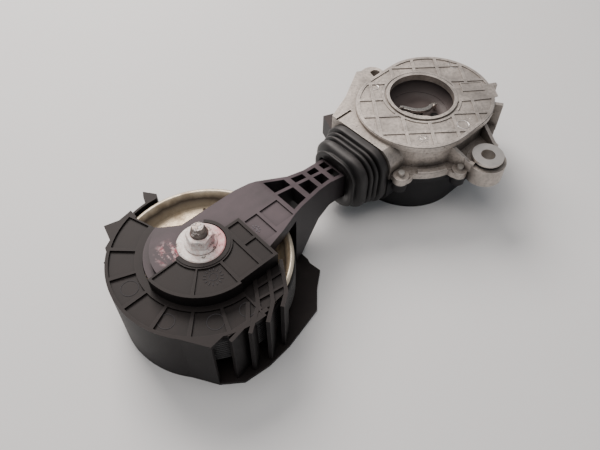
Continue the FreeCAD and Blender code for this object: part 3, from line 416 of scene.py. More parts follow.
def sintered(name, colour, metallic, rough):
    """Small inner metals and plastics: an even body with pores and light handling wear."""
    finish = Finish(name)
    mottle = finish.clouds(0.004, 4)
    pores = finish.ramp(finish.cells(0.0009), (0.12, 0.0), (0.3, 1.0))
    edges = finish.edges(0.0003)
    body = finish.blend(mottle, lighter(colour, 0.75), lighter(colour, 1.25))
    pored = finish.blend(pores, lighter(colour, 0.5), body)
    bright = finish.blend(edges * 0.4, pored, lighter(colour, 1.7))
    return finish.set(Base_Color=bright, Metallic=metallic, Roughness=rough + mottle * 0.15,
                      Normal=finish.bump(pores, 0.00003))


def studio_floor(name, colour):
    finish = Finish(name)
    haze = finish.clouds(0.25, 2)
    return finish.set(Base_Color=finish.blend(haze, lighter(colour, 0.97), lighter(colour, 1.02)),
                      Roughness=0.62 + finish.clouds(0.03, 3) * 0.05)


# ---------------------------------------------------------------- mesh helpers
def finish_shading(mesh, angle):
    """Smooth faces, with the edges sharper than an angle in degrees kept crisp."""
    mesh.polygons.foreach_set("use_smooth", [True] * len(mesh.polygons))
    mesh.set_sharp_from_angle(angle=math.radians(angle))
    mesh.update()


def add_piece(name, mesh, body, material, slot, *nodes):
    """Link a mesh as a piece that rides on a body and stands for CAD nodes."""
    piece = bpy.data.objects.new(name, mesh)
    bpy.context.scene.collection.objects.link(piece)
    mesh.materials.clear()
    mesh.materials.append(material)
    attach(piece, body)
    if nodes:
        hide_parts(*nodes)
    return piece


def mesh_from(bm, name):
    """The finished mesh of a bmesh, with its faces turned outward."""
    bmesh.ops.recalc_face_normals(bm, faces=bm.faces)
    mesh = bpy.data.meshes.new(name)
    bm.to_mesh(mesh)
    bm.free()
    return mesh


def smooth_piece(name, bm, angle, *piece):
    """A piece that is smooth but for the edges sharper than an angle in degrees."""
    mesh = mesh_from(bm, name)
    finish_shading(mesh, angle)
    return add_piece(name, mesh, *piece)


def cad_copy(node):
    """A clean copy of a CAD node's mesh: welded, with its flat triangles made whole faces."""
    weld, flat = 0.002 * MM, math.radians(0.8)
    bm = bmesh.new()
    bm.from_mesh(frame["nodes"][node].data)
    bmesh.ops.remove_doubles(bm, verts=bm.verts, dist=weld)
    bmesh.ops.dissolve_limit(bm, angle_limit=flat, verts=bm.verts, edges=bm.edges)
    return bm


def softened(node, name, body, material, slot, width):
    """A CAD shape with its machined corners rounded to a moulding's or a casting's."""
    piece = add_piece(name, mesh_from(cad_copy(node), name), body, material, slot, node)
    round_edges(piece, width)
    return piece


def round_edges(piece, width):
    """Round the edges sharper than an angle in degrees, and keep the faces beside them even."""
    angle = 32.0
    bevel = piece.modifiers.new("rounded", "BEVEL")
    bevel.width = width
    bevel.segments = 2
    bevel.limit_method = "ANGLE"
    bevel.angle_limit = math.radians(angle)
    bevel.use_clamp_overlap = True
    bevel.harden_normals = False
    even = piece.modifiers.new("even_faces", "WEIGHTED_NORMAL")
    even.keep_sharp = True
    finish_shading(piece.data, angle)


def filleted(corners, arc_steps=5):
    """Corners (a, b) or (a, b, radius) as a closed outline with its corners rounded."""
    points = []
    count = len(corners)
    for index, corner in enumerate(corners):
        here = Vector(corner[:2])
        radius = corner[2] if len(corner) > 2 else 0.0
        if radius <= 0:
            points.append(here)
            continue
        before = (Vector(corners[index - 1][:2]) - here)
        after = (Vector(corners[(index + 1) % count][:2]) - here)
        half = before.angle(after) / 2
        reach = min(radius / math.tan(half), before.length * 0.48, after.length * 0.48)
        first, last = here + before.normalized() * reach, here + after.normalized() * reach
        for step in range(arc_steps + 1):
            share = step / arc_steps
            near = first.lerp(here, share)
            points.append(near.lerp(here.lerp(last, share), share))
    return points


def lathed(corners, axis, steps=144, arc_steps=5):
    """A hollow body of revolution about a vertical axis, from (radius, height) corners in millimetres."""
    bm = bmesh.new()
    rings = [[bm.verts.new(point) for point in circle_path(axis, radius * MM, height * MM, steps)]
             for radius, height in filleted(corners, arc_steps)]
    for low, high in zip(rings, rings[1:] + rings[:1]):
        join_rings(bm, low, high)
    return bm


def join_rings(bm, low, high):
    """Faces between two rings of points, one of which may be a single point."""
    count = max(len(low), len(high))
    for step in range(count):
        following = (step + 1) % count
        if len(low) == 1:
            corners = (low[0], high[following], high[step])
        elif len(high) == 1:
            corners = (low[step], low[following], high[0])
        else:
            corners = (low[step], low[following], high[following], high[step])
        bm.faces.new(corners)


def add_tube(bm, path, radius, sides=8, closed=False):
    """A round bar along a list of points, capped at its ends unless closed."""
    rings = []
    count = len(path)
    for index, point in enumerate(path):
        ahead = path[(index + 1) % count] if closed or index + 1 < count else point
        behind = path[index - 1] if closed or index > 0 else point
        way = (ahead - behind).normalized()
        side = way.cross(Vector((0, 0, 1)))
        side = side.normalized() if side.length > 0.1 else Vector((1, 0, 0))
        up = side.cross(way).normalized()
        ring = []
        for step in range(sides):
            turn = 2 * math.pi * step / sides
            ring.append(bm.verts.new(point + side * radius * math.cos(turn) + up * radius * math.sin(turn)))
        rings.append(ring)
    for low, high in zip(rings, rings[1:]):
        join_rings(bm, low, high)
    if closed:
        join_rings(bm, rings[-1], rings[0])
    else:
        bm.faces.new(rings[0])
        bm.faces.new(rings[-1][::-1])


def circle_path(centre, radius, z, steps):
    """Points round a level circle, in metres."""
    path = []
    for index in range(steps):
        turn = 2 * math.pi * index / steps
        path.append(Vector((centre.x + radius * math.cos(turn), centre.y + radius * math.sin(turn), z)))
    return path


def add_prism(bm, outline, low, high):
    """A flat piece between two levels above an outline of points (x, y) in metres."""
    bottom = [bm.verts.new((x, y, low)) for x, y in outline]
    top = [bm.verts.new((x, y, high)) for x, y in outline]
    join_rings(bm, bottom, top)
    bm.faces.new(bottom[::-1])
    bm.faces.new(top)


def about(axis, x, y, z=0.0):
    """A point given in millimetres about a vertical axis."""
    return Vector((axis.x + x * MM, axis.y + y * MM, z))


# ---------------------------------------------------------------- settings
class IdlerStageSettings(bpy.types.PropertyGroup):
    """The floor, the lights and the camera."""

    floor_colour: bpy.props.FloatVectorProperty(
        name="Floor", description="Colour of the floor", subtype="COLOR", size=4,
        default=(0.80, 0.80, 0.80, 1.0))
    key_power: bpy.props.FloatProperty(
        name="Key light", description="Power of the light behind the object", default=15.0, unit="POWER")
    fill_power: bpy.props.FloatProperty(
        name="Fill light", description="Power of the light high above", default=6.0, unit="POWER")
    sky: bpy.props.FloatProperty(
        name="Sky", description="Strength of the even light all round", default=0.30)
    camera_place: bpy.props.FloatVectorProperty(
        name="Camera", description="Where the camera stands", subtype="TRANSLATION", unit="LENGTH",
        default=(-0.2583, -0.1108, 0.2760))
    camera_pitch: bpy.props.FloatProperty(
        name="Pitch", description="How far the camera looks down", subtype="ANGLE",
        default=math.radians(51.9))
    camera_turn: bpy.props.FloatProperty(
        name="Turn", description="Way the camera looks, from +X towards +Y", subtype="ANGLE",
        default=math.radians(46.99))
    camera_roll: bpy.props.FloatProperty(
        name="Roll", description="Tilt of the camera about its own view", subtype="ANGLE",
        default=math.radians(0.36))
    lens: bpy.props.FloatProperty(name="Lens", description="Focal length in millimetres", default=36.0)


class IdlerColourSettings(bpy.types.PropertyGroup):
    """The main colours."""

    guard: bpy.props.FloatVectorProperty(
        name="Guard", description="Plastic of the wheel guard", subtype="COLOR", size=4,
        default=(0.013, 0.0105, 0.0105, 1.0))
    arm: bpy.props.FloatVectorProperty(
        name="Arm", description="Plastic of the arm", subtype="COLOR", size=4,
        default=(0.034, 0.029, 0.031, 1.0))
    housing: bpy.props.FloatVectorProperty(
        name="Housing", description="Cast aluminium of the housing", subtype="COLOR", size=4,
        default=(0.600, 0.540, 0.490, 1.0))
    bellows: bpy.props.FloatVectorProperty(
        name="Bellows", description="Rubber of the bellows", subtype="COLOR", size=4,
        default=(0.013, 0.0115, 0.0115, 1.0))
    dish: bpy.props.FloatVectorProperty(
        name="Wheel dish", description="Passivated steel of the wheel", subtype="COLOR", size=4,
        default=(0.56, 0.46, 0.33, 1.0))


class IdlerWearSettings(bpy.types.PropertyGroup):
    """How used the object looks."""

    paint_cover: bpy.props.FloatProperty(
        name="Paint cover", description="How much of the marking paint is left on the nut", default=0.22,
        min=0.0, max=0.4)
    guard_dust: bpy.props.FloatProperty(
        name="Guard dust", description="Dust settled on the guard", default=0.05, min=0.0, max=1.0)
    arm_dust: bpy.props.FloatProperty(
        name="Arm dust", description="Dust settled on the arm", default=0.75, min=0.0, max=1.0)


class IdlerShapeSettings(bpy.types.PropertyGroup):
    """Sizes of the detail that the frame leaves plain."""

    plastic_edge: bpy.props.FloatProperty(
        name="Moulded edges", description="Rounding of the moulded edges", default=0.00035, unit="LENGTH")
    cast_edge: bpy.props.FloatProperty(
        name="Cast edges", description="Rounding of the cast edges", default=0.00045, unit="LENGTH")
    thread_pitch: bpy.props.FloatProperty(
        name="Thread pitch", description="Pitch of the axle stud's thread", default=0.00125, unit="LENGTH")
    bellows_wall: bpy.props.FloatProperty(
        name="Bellows wall", description="Thickness of the bellows", default=0.0016, unit="LENGTH")


SETTINGS = {
    "idler_stage": IdlerStageSettings,
    "idler_colours": IdlerColourSettings,
    "idler_wear": IdlerWearSettings,
    "idler_shapes": IdlerShapeSettings,
}


# ---------------------------------------------------------------- stage
class IDLER_OT_stage(bpy.types.Operator):
    """Lay the floor, set the lights and stand the camera"""

    bl_idname = "idler.stage"
    bl_label = "Stage"

    def execute(self, context):
        settings = context.scene.idler_stage
        self.lay_floor(settings)
        self.set_lights(context, settings)
        self.stand_camera(context, settings)
        return {"FINISHED"}

    def lay_floor(self, settings):
        reach = 4.0
        mesh = bpy.data.meshes.new("floor")
        corners = [(-reach, -reach), (reach, -reach), (reach, reach), (-reach, reach)]
        mesh.from_pydata([(x, y, FLOOR_Z) for x, y in corners], [], [(0, 1, 2, 3)])
        mesh.materials.append(studio_floor("pale_floor", tuple(settings.floor_colour)))
        floor = bpy.data.objects.new("floor", mesh)
        bpy.context.scene.collection.objects.link(floor)

    def set_lights(self, context, settings):
        world = bpy.data.worlds.new("studio")
        world.use_nodes = True
        background = world.node_tree.nodes["Background"]
        background.inputs["Color"].default_value = SKY_COLOUR
        background.inputs["Strength"].default_value = settings.sky
        context.scene.world = world
        # name, power, size and place of each light
        lights = (
            ("key_light", settings.key_power, 0.6, (0.10, 0.84, 0.80)),
            ("fill_light", settings.fill_power, 0.9, (-0.30, 0.10, 1.15)),
        )
        aim = Vector((-0.08, 0.05, 0.0))
        for name, power, size, where in lights:
            data = bpy.data.lights.new(name, "AREA")
            data.energy = power
            data.size = size
            data.color = LIGHT_COLOUR
            lamp = bpy.data.objects.new(name, data)
            lamp.location = where
            lamp.rotation_euler = (aim - Vector(where)).to_track_quat("-Z", "Y").to_euler()
            context.scene.collection.objects.link(lamp)

    def stand_camera(self, context, settings):
        data = bpy.data.cameras.new("camera")
        data.lens = settings.lens
        data.sensor_width = 36.0
        camera = bpy.data.objects.new("camera", data)
        turn, pitch = settings.camera_turn, settings.camera_pitch
        look = Vector((math.cos(turn) * math.cos(pitch), math.sin(turn) * math.cos(pitch), -math.sin(pitch)))
        stand = look.to_track_quat("-Z", "Y").to_matrix() @ Matrix.Rotation(settings.camera_roll, 3, "Z")
        camera.matrix_world = Matrix.Translation(Vector(settings.camera_place)) @ stand.to_4x4()
        context.scene.collection.objects.link(camera)
        context.scene.camera = camera


# ---------------------------------------------------------------- wheel
class IDLER_OT_wheel(bpy.types.Operator):
    """Make the pressed wheel and its ground rubber tyre"""

    bl_idname = "idler.wheel"
    bl_label = "Wheel and tyre"

    def execute(self, context):
        colours = context.scene.idler_colours
        self.make_dish(pressed_dish("wheel_steel", tuple(colours.dish)))
        self.make_tyre(rubber("tyre_rubber", shade(0.022, 0.020, 0.020), 0.08))
        return {"FINISHED"}

    def make_dish(self, material):
        outline = [
            (17.6, -6, 0.5), (19.6, -6, 0.5), (19.6, 3.0, 1.4), (24, 1.6, 1.6), (39.5, 1.6, 4),
            (44.8, 5.2, 1.6), (44.8, -14, 0.5), (46.6, -14, 0.5), (46.6, 9.4, 1.2), (48.2, 10.2, 0.9),
            (48.7, 12.0, 0.9), (46.6, 12.6, 1.0), (44.9, 10.8, 1.2), (39.6, 3.9, 4), (25, 3.5, 2),
            (21.4, 6, 1.0), (17.6, 6, 0.5),
        ]
        smooth_piece("wheel_dish", lathed(outline, AXLE, 192), 40,
                     "wheel", material, "wheel_steel", "wheel_disc")

    def make_tyre(self, material):
        ribs, first_rib, pitch = 9, -12.2, 2.05
        crest, groove = 49.25, 48.75
        outline = [(46.9, -13, 0.2), (48.6, -13, 0.7)]
        for index in range(ribs):
            low = first_rib + index * pitch
            outline += [(crest, low, 0.25), (crest, low + 1.35, 0.25),
                        (groove, low + 1.6), (groove, low + 1.9)]
        outline += [(crest, 6.3, 0.3), (48.6, 7, 0.7), (46.9, 7, 0.2)]
        smooth_piece("tyre", lathed(outline, AXLE, 192, arc_steps=2), 40,
                     "wheel", material, "tyre_rubber", "friction_tyre")


class IDLER_OT_axle(bpy.types.Operator):
    """Make the threaded stud, the flanged nut and the washer with their marking paint"""

    bl_idname = "idler.axle"
    bl_label = "Axle nut and stud"

    def execute(self, context):
        cover = context.scene.idler_wear.paint_cover
        worn_off_thread = 0.13
        paint = paint_mark("marking_paint", cover)
        zinc = paint_mark("marked_thread", cover - worn_off_thread)
        self.make_washer(paint)
        self.make_nut(paint)
        self.make_stud(context, zinc)
        return {"FINISHED"}

    def make_washer(self, material):
        low, high = ARM_TOP / MM, WASHER_TOP / MM
        outline = [(4.4, low, 0.2), (12.9, low, 0.3), (13.0, high - 0.6, 0.5), (12.3, high, 0.6),
                   (9.6, high - 0.05, 0.3), (4.4, high - 0.05, 0.2)]
        bm = lathed(outline, AXLE, 160)
        roughen(bm, 0.00012, 260.0, 3)
        smooth_piece("painted_washer", bm, 40, "arm", material, "marked_steel", "washer")

    def make_nut(self, material):
        half_flats = 6.5
        steps = 180
        sixth = math.pi / 3
        turn_of_nut = math.radians(-13)
        # height, radius, and whether the six flats cut the ring there
        levels = [(0.0, 4.2, 0), (0.0, 8.5, 0), (0.5, 8.62, 0), (1.0, 8.3, 0), (1.5, 7.7, 0), (1.75, 7.42, 1),
                  (2.2, 7.42, 1), (6.9, 7.42, 1), (7.35, 7.30, 1), (7.7, 6.95, 1), (8.0, 6.45, 1),
                  (8.0, 4.9, 0), (7.4, 4.25, 0)]
        bm = bmesh.new()
        rings = []
        for height, radius, hexed in levels:
            ring = []
            for step in range(steps):
                turn = 2 * math.pi * step / steps
                reach = radius
                if hexed:
                    slant = (turn - turn_of_nut + sixth / 2) % sixth - sixth / 2
                    reach = min(radius, half_flats / math.cos(slant))
                ring.append(bm.verts.new(about(AXLE, reach * math.cos(turn), reach * math.sin(turn),
                                               WASHER_TOP + height * MM)))
            rings.append(ring)
        for low, high in zip(rings, rings[1:] + rings[:1]):
            join_rings(bm, low, high)
        roughen(bm, 0.00004, 420.0, 7)
        smooth_piece("painted_nut", bm, 30, "arm", material, "marked_steel", "flange_nut")

    def make_stud(self, context, material):
        pitch = context.scene.idler_shapes.thread_pitch
        head, crest, root, end = 9.2 * MM, 4.0 * MM, 3.4 * MM, 2.9 * MM
        low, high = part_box("axle_stud")
        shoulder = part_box("bearing_inner_ring")[0].z
        start = WASHER_TOP
        turns = int((high.z - 1.1 * MM - start) / pitch)
        levels = [(low.z, 0.0), (low.z, head - 0.6 * MM), (low.z + 0.6 * MM, head), (shoulder, head),
                  (shoulder, crest), (start, crest)]
        for index in range(turns):
            at = start + index * pitch
            levels += [(at + pitch * 0.15, root), (at + pitch * 0.30, root), (at + pitch * 0.62, crest),
                       (at + pitch * 0.78, crest)]
        levels += [(high.z - 0.8 * MM, root), (high.z, end), (high.z, 0.0)]
        bm = bmesh.new()
        rings = [[bm.verts.new(point) for point in circle_path(AXLE, radius, height, 36 if radius else 1)]
                 for height, radius in levels]
        for first, second in zip(rings, rings[1:]):
            join_rings(bm, first, second)
        smooth_piece("threaded_stud", bm, 35, "arm", material, "zinc_steel", "axle_stud")


def roughen(bm, amount, scale, seed):
    """Push points along their normals by smooth noise, for thick paint or a cast skin."""
    bm.normal_update()
    shift = Vector((seed, seed * 2.0, seed * 3.0))
    for vert in bm.verts:
        vert.co += vert.normal * amount * noise.noise(vert.co * scale + shift)


# ---------------------------------------------------------------- arm and guard
class IDLER_OT_arm(bpy.types.Operator):
    """Finish the moulded arm"""

    bl_idname = "idler.arm"
    bl_label = "Arm"

    def execute(self, context):
        dust, edge = context.scene.idler_wear.arm_dust, context.scene.idler_shapes.plastic_edge
        plastic = arm_finish("arm_plastic", tuple(context.scene.idler_colours.arm), dust)
        softened("arm", "moulded_arm", "arm", plastic, "arm_plastic", edge * 1.5)
        return {"FINISHED"}


class IDLER_OT_guard(bpy.types.Operator):
    """Finish the wheel guard"""

    bl_idname = "idler.guard"
    bl_label = "Wheel guard"

    def execute(self, context):
        dust, colour = context.scene.idler_wear.guard_dust, tuple(context.scene.idler_colours.guard)
        # the guard's edges are lightened strongly, partly a painted highlight along its rim and ribs
        plastic = moulded("guard_plastic", colour, dust, 0.46, edge=8.0)
        softened("wheel_guard", "moulded_guard", "arm", plastic, "guard_plastic",
                 context.scene.idler_shapes.plastic_edge)
        return {"FINISHED"}


class IDLER_OT_marks(bpy.types.Operator):
    """Add the ejector marks and the date dials of the mouldings and the casting"""

    bl_idname = "idler.marks"
    bl_label = "Moulding marks"

    # each mark's place about the axle or the drive's axis and its radius, then a dial's number of ticks
    EJECTORS = [(-41, 8, 4.6), (-38.2, -20.5, 4.2), (-20.5, -37, 4.4), (-4.6, -42.2, 4.0)]
    CAST_RINGS = [(-1.4, -34.1, 3.6), (40.6, 6.7, 3.2), (-15.5, 26.5, 2.6)]
    GUARD_DIAL = (-8.0, -20.5, 5.2, 14)
    ARM_DIAL = (27.5, -10.5, 3.0, 10)
    CAST_DIAL = (-28.9, -25.5, 3.4, 12)

    def execute(self, context):
        bm = bmesh.new()
        for x, y, radius in self.EJECTORS:
            self.ring(bm, about(AXLE, x, y, RING_POCKET), radius * MM, 0.22 * MM)
        self.add_marks("ejector_marks", bm, "arm", "guard_plastic")
        bm = bmesh.new()
        self.dial(bm, AXLE, SECTOR_POCKET, *self.GUARD_DIAL)
        self.add_marks("guard_date_dial", bm, "arm", "guard_plastic")
        bm = bmesh.new()
        self.dial(bm, AXLE, ARM_POCKET, *self.ARM_DIAL)
        self.add_marks("arm_date_dial", bm, "arm", "arm_plastic")
        bm = bmesh.new()
        for x, y, radius in self.CAST_RINGS:
            self.ring(bm, about(DRIVE, x, y, PLATE_TOP), radius * MM, 0.26 * MM)
        self.dial(bm, DRIVE, PLATE_TOP, *self.CAST_DIAL)
        self.add_marks("casting_marks", bm, "housing", "cast_aluminium")
        return {"FINISHED"}

    def add_marks(self, name, bm, body, slot):
        """A piece in the material of the part it lies on, which has the same name as its slot."""
        add_piece(name, mesh_from(bm, name), body, bpy.data.materials[slot], slot)

    def ring(self, bm, centre, radius, bar):
        """A low round bead lying half sunk in a surface."""
        add_tube(bm, circle_path(centre, radius, centre.z, 40), bar, closed=True)

    def dial(self, bm, axis, level, x, y, radius, ticks):
        """A round date dial: a small hub ring with short ticks round it, without figures."""
        centre, radius = about(axis, x, y, level), radius * MM
        self.ring(bm, centre, radius * 0.42, 0.20 * MM)
        for index in range(ticks):
            turn = 2 * math.pi * index / ticks
            way = Vector((math.cos(turn), math.sin(turn), 0))
            add_tube(bm, [centre + way * radius * 0.72, centre + way * radius], 0.30 * MM, sides=6)


# ---------------------------------------------------------------- bellows
class IDLER_OT_bellows(bpy.types.Operator):
    """Make the rubber bellows between the arm and the housing"""

    bl_idname = "idler.bellows"
    bl_label = "Bellows"

    FOLDS = [
        # along the arm from its small end, and how far the fold stands inside the full size
        (0.0, 9.9), (0.0, 8.8), (0.3, 8.1), (0.9, 7.9), (1.4, 8.2), (1.7, 9.0), (2.1, 9.9), (2.7, 9.9),
        (3.1, 8.4), (3.8, 6.3), (4.6, 4.9), (5.6, 4.1), (6.8, 3.8), (8.0, 3.8), (8.8, 4.1), (9.3, 4.9),
        (9.6, 6.6), (9.9, 7.6), (10.3, 7.2), (10.6, 5.2), (11.0, 3.6), (11.6, 3.1), (12.3, 3.1), (12.8, 3.7),
        (13.1, 5.4), (13.4, 6.6), (13.8, 6.2), (14.1, 4.2), (14.5, 2.5), (15.1, 2.0), (15.7, 2.1),
        (16.1, 3.0), (16.4, 5.4), (16.8, 6.2), (17.2, 4.4), (17.5, 1.4), (17.9, 0.35), (18.6, 0.0),
        (21.7, 0.0), (22.3, 0.2), (22.7, 0.9),
    ]
    MOUTH = (10.9, 10.3)  # half its width and half its height

    def execute(self, context):
        low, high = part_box("bellows")
        wall = context.scene.idler_shapes.bellows_wall
        shift, narrower = -1.2 * MM, 1.5 * MM
        centre = (low + high) / 2 + Vector((0, shift, 0))
        half_wide, half_tall = (high.y - low.y) / 2 - narrower, (high.z - low.z) / 2
        bm = bmesh.new()
        outer, inner = (
            [self.section(bm, low.x + along * MM, centre, half_wide, half_tall, inset * MM + depth)
             for along, inset in self.FOLDS]
            for depth in (0.0, wall))
        for first, second in zip(outer, outer[1:]):
            join_rings(bm, first, second)
        for first, second in zip(inner, inner[1:]):
            join_rings(bm, second, first)
        middle = Vector((centre.x, AXLE.y, ARM_END_Z))
        lip = [self.mouth(bm, low.x + along * MM, middle) for along in (0.2, 1.6)]
        join_rings(bm, lip[0], outer[0])
        join_rings(bm, lip[1], lip[0])
        join_rings(bm, inner[0], lip[1])
        join_rings(bm, outer[-1], inner[-1])
        mesh = mesh_from(bm, "rubber_bellows")
        mesh.polygons.foreach_set("use_smooth", [True] * len(mesh.polygons))
        piece = bpy.data.objects.new("rubber_bellows", mesh)
        context.scene.collection.objects.link(piece)
        mesh.materials.append(rubber("bellows_rubber", tuple(context.scene.idler_colours.bellows), 0.13))
        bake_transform(piece)
        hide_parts("bellows")
        return {"FINISHED"}

    def mouth(self, bm, x, middle):
        """The small end's inner edge, close round the arm."""
        wide, tall = (size * MM for size in self.MOUTH)
        return self.ring(bm, x, middle, wide, tall, 2 * MM)

    def section(self, bm, x, centre, half_wide, half_tall, inset):
        """A ring of points across the bellows. Its folds are shallower above and below than beside."""
        wide, tall = half_wide - inset, half_tall - inset * 0.42
        return self.ring(bm, x, centre, wide, tall, min(14 * MM, tall - 1 * MM) - inset * 0.25)

    def ring(self, bm, x, centre, wide, tall, corner):
        """Points round a rectangle across the arm, half as wide and tall as it is, with round corners."""
        points = []
        steps = 16
        for quarter in range(4):
            base = quarter * math.pi / 2
            side = (1, -1, -1, 1)[quarter]
            lift = (1, 1, -1, -1)[quarter]
            for step in range(steps):
                turn = base + math.pi / 2 * step / (steps - 1)
                y = side * (wide - corner) + corner * math.cos(turn)
                z = lift * (tall - corner) + corner * math.sin(turn)
                points.append(bm.verts.new((x, centre.y + y, centre.z + z)))
        return points


# ---------------------------------------------------------------- housing
class IDLER_OT_housing(bpy.types.Operator):
    """Finish the cast housing"""

    bl_idname = "idler.housing"
    bl_label = "Housing"

    def execute(self, context):
        metal = cast_metal("cast_aluminium", tuple(context.scene.idler_colours.housing))
        softened("housing", "cast_housing", "housing", metal, "cast_aluminium",
                 context.scene.idler_shapes.cast_edge)
        return {"FINISHED"}


class IDLER_OT_cover(bpy.types.Operator):
    """Finish the bottom cover"""

    bl_idname = "idler.cover"
    bl_label = "Bottom cover"

    def execute(self, context):
        edge = context.scene.idler_shapes.plastic_edge
        softened("bottom_cover", "moulded_cover", "housing",
                 moulded("cover_plastic", shade(0.022, 0.021, 0.022), 0.2), "cover_plastic", edge)
        return {"FINISHED"}


class IDLER_OT_bowl(bpy.types.Operator):
    """Make the bowl seen through the window and the sprung clip that stands in it"""

    bl_idname = "idler.bowl"
    bl_label = "Drive bowl and clip"

    CLIP = [(-8.4, 8.6), (-6.4, 6.2), (-5.0, 2.6), (-2.6, -0.8), (0.8, -3.4), (5.2, -4.8), (8.0, -4.0),
            (11.4, -5.2)]
    WELLS = [(-8.6, 4.0), (6.0, -8.6)]
    WELL_RADIUS = 2.7 * MM

    def execute(self, context):
        plastic = moulded("dish_plastic", shade(0.085, 0.070, 0.068), 0.16, 0.34, edge=3.0)
        self.make_dish(plastic)
        self.make_shroud(plastic)
        self.make_clip(steel("spring_steel", shade(0.62, 0.58, 0.54), 0.20, amount=0.2))
        return {"FINISHED"}

    def make_dish(self, plastic):
        outline = [(3.2, 9.0), (18.0, 9.0), (19.0, 10.0), (19.0, 14.3), (18.6, 14.4), (17.4, 13.4),
                   (15.6, 12.6), (13.0, 12.1), (3.2, 12.0)]
        smooth_piece("drive_bowl", lathed(outline, DRIVE), 34,
                     "eccentric", plastic, "dish_plastic", "eccentric_dish")
        bm = bmesh.new()
        # near-black discs on the bowl's floor: painted shade standing for the two dark wells
        for x, y in self.WELLS:
            well = circle_path(about(DRIVE, x, y), self.WELL_RADIUS, 0.0, 24)
            add_prism(bm, [point.xy for point in well], 11.9 * MM, 12.3 * MM)
        dark = rubber("bowl_wells", shade(0.004, 0.0035, 0.0035), 0.0)
        add_piece("bowl_wells", mesh_from(bm, "bowl_wells"), "eccentric", dark, "dish_plastic")

    def make_shroud(self, plastic):
        outline = [(18.7, 14.7), (20.0, 15.9), (21.3, 17.9), (22.0, 20.3), (22.2, 22.9), (23.1, 22.9),
                   (23.1, 17.8), (20.6, 14.7)]
        smooth_piece("window_bowl", lathed(outline, DRIVE), 34,
                     "housing", plastic, "dish_plastic", "window_shroud")

    def make_clip(self, metal):
        """A bent spring strip on edge, with a taller foot at each end and a narrow shelf beside it."""
        line = self.rounded_line([about(DRIVE, x, y) for x, y in self.CLIP])
        bm = bmesh.new()
        self.add_strip(bm, line, 14.2 * MM, 16.3 * MM, 0.45 * MM)
        for foot in (line[:5], line[-5:]):
            self.add_strip(bm, foot, 12.1 * MM, 17.4 * MM, 0.6 * MM)
        shelf = [point + Vector((0.6 * MM, 1.1 * MM, 0)) for point in line]
        self.add_strip(bm, shelf, 15.5 * MM, 16.2 * MM, 1.3 * MM)
        piece = add_piece("drive_spring_clip", mesh_from(bm, "drive_spring_clip"), "eccentric", metal,
                          "spring_steel", "drive_clip")
        round_edges(piece, 0.18 * MM)

    def rounded_line(self, points):
        """The corners of a line softened by cutting each one twice."""
        for _ in range(2):
            softer = [points[0]]
            for first, second in zip(points, points[1:]):
                softer += [first.lerp(second, 0.25), first.lerp(second, 0.75)]
            points = softer + [points[-1]]
        return points

    def add_strip(self, bm, line, low, high, half):
        """An upright wall of even thickness along a level line."""
        left, right = [], []
        for index, point in enumerate(line):
            ahead = line[min(index + 1, len(line) - 1)]
            behind = line[max(index - 1, 0)]
            way = (ahead - behind).normalized()
            side = Vector((-way.y, way.x, 0)) * half
            left.append((point + side).xy)
            right.append((point - side).xy)
        add_prism(bm, left + right[::-1], low, high)


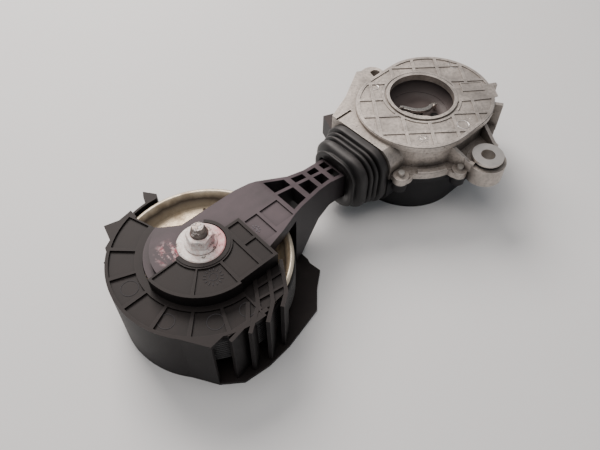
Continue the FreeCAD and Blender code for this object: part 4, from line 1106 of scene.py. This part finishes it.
# ---------------------------------------------------------------- the rest
class IDLER_OT_inner_pieces(bpy.types.Operator):
    """Give every piece kept from the frame its own finish"""

    bl_idname = "idler.inner_pieces"
    bl_label = "Inner pieces"

    def execute(self, context):
        finishes = {
            "zinc_steel": steel("zinc_steel", shade(0.58, 0.57, 0.55)),
            "sleeve_steel": steel("sleeve_steel", shade(0.72, 0.68, 0.64), 0.34, amount=0.3),
            "ground_steel": steel("ground_steel", shade(0.62, 0.62, 0.62), 0.22, amount=0.1),
            "spring_steel": bpy.data.materials["spring_steel"],
            "contact_tin": steel("contact_tin", shade(0.75, 0.73, 0.68), 0.3, amount=0.05),
            "seal_rubber": rubber("seal_rubber", shade(0.03, 0.03, 0.03)),
            "magnet": sintered("magnet", shade(0.06, 0.06, 0.065), 0.0, 0.5),
            "carbon": sintered("carbon", shade(0.035, 0.035, 0.035), 0.0, 0.55),
            "bronze": sintered("bronze", shade(0.52, 0.35, 0.16), 0.9, 0.32),
            "gear_plastic": sintered("gear_plastic", shade(0.06, 0.055, 0.055), 0.0, 0.4),
            "winding": sintered("winding", shade(0.42, 0.16, 0.06), 0.7, 0.3),
            "contact_copper": sintered("contact_copper", shade(0.60, 0.30, 0.16), 0.95, 0.25),
            "yoke_plastic": sintered("yoke_plastic", shade(0.62, 0.58, 0.48), 0.0, 0.4),
            "cage_plastic": sintered("cage_plastic", shade(0.48, 0.38, 0.22), 0.0, 0.4),
            "cover_plastic": bpy.data.materials["cover_plastic"],
        }
        slots = {item["node"]: item["material_slot"] for item in frame["record"]["subparts"]}
        for name, item in frame["nodes"].items():
            if item.hide_render:
                continue
            item.data.materials.clear()
            item.data.materials.append(finishes[slots[name]])
        return {"FINISHED"}


OPERATORS = [
    IDLER_OT_stage, IDLER_OT_wheel, IDLER_OT_axle, IDLER_OT_arm, IDLER_OT_guard, IDLER_OT_bellows,
    IDLER_OT_housing, IDLER_OT_cover, IDLER_OT_bowl, IDLER_OT_marks, IDLER_OT_inner_pieces,
]


class IDLER_PT_panel(bpy.types.Panel):
    """The idler's pieces and their settings"""

    bl_idname = "IDLER_PT_panel"
    bl_label = "Belt tensioner idler"
    bl_space_type = "VIEW_3D"
    bl_region_type = "UI"
    bl_category = "Idler"

    def draw(self, context):
        for name, group in SETTINGS.items():
            box = self.layout.box()
            for prop in group.__annotations__:
                box.prop(getattr(context.scene, name), prop)
        for operator in OPERATORS:
            self.layout.operator(operator.bl_idname)


def register():
    for name, group in SETTINGS.items():
        bpy.utils.register_class(group)
        setattr(bpy.types.Scene, name, bpy.props.PointerProperty(type=group))
    for item in OPERATORS + [IDLER_PT_panel]:
        bpy.utils.register_class(item)


def unregister():
    for item in reversed(OPERATORS + [IDLER_PT_panel]):
        bpy.utils.unregister_class(item)
    for name, group in reversed(list(SETTINGS.items())):
        delattr(bpy.types.Scene, name)
        bpy.utils.unregister_class(group)


def main():
    """Register the classes and make every piece in order."""
    register()
    for operator in OPERATORS:
        family, action = operator.bl_idname.split(".")
        getattr(getattr(bpy.ops, family), action)()


if __name__ == "__main__":
    main()
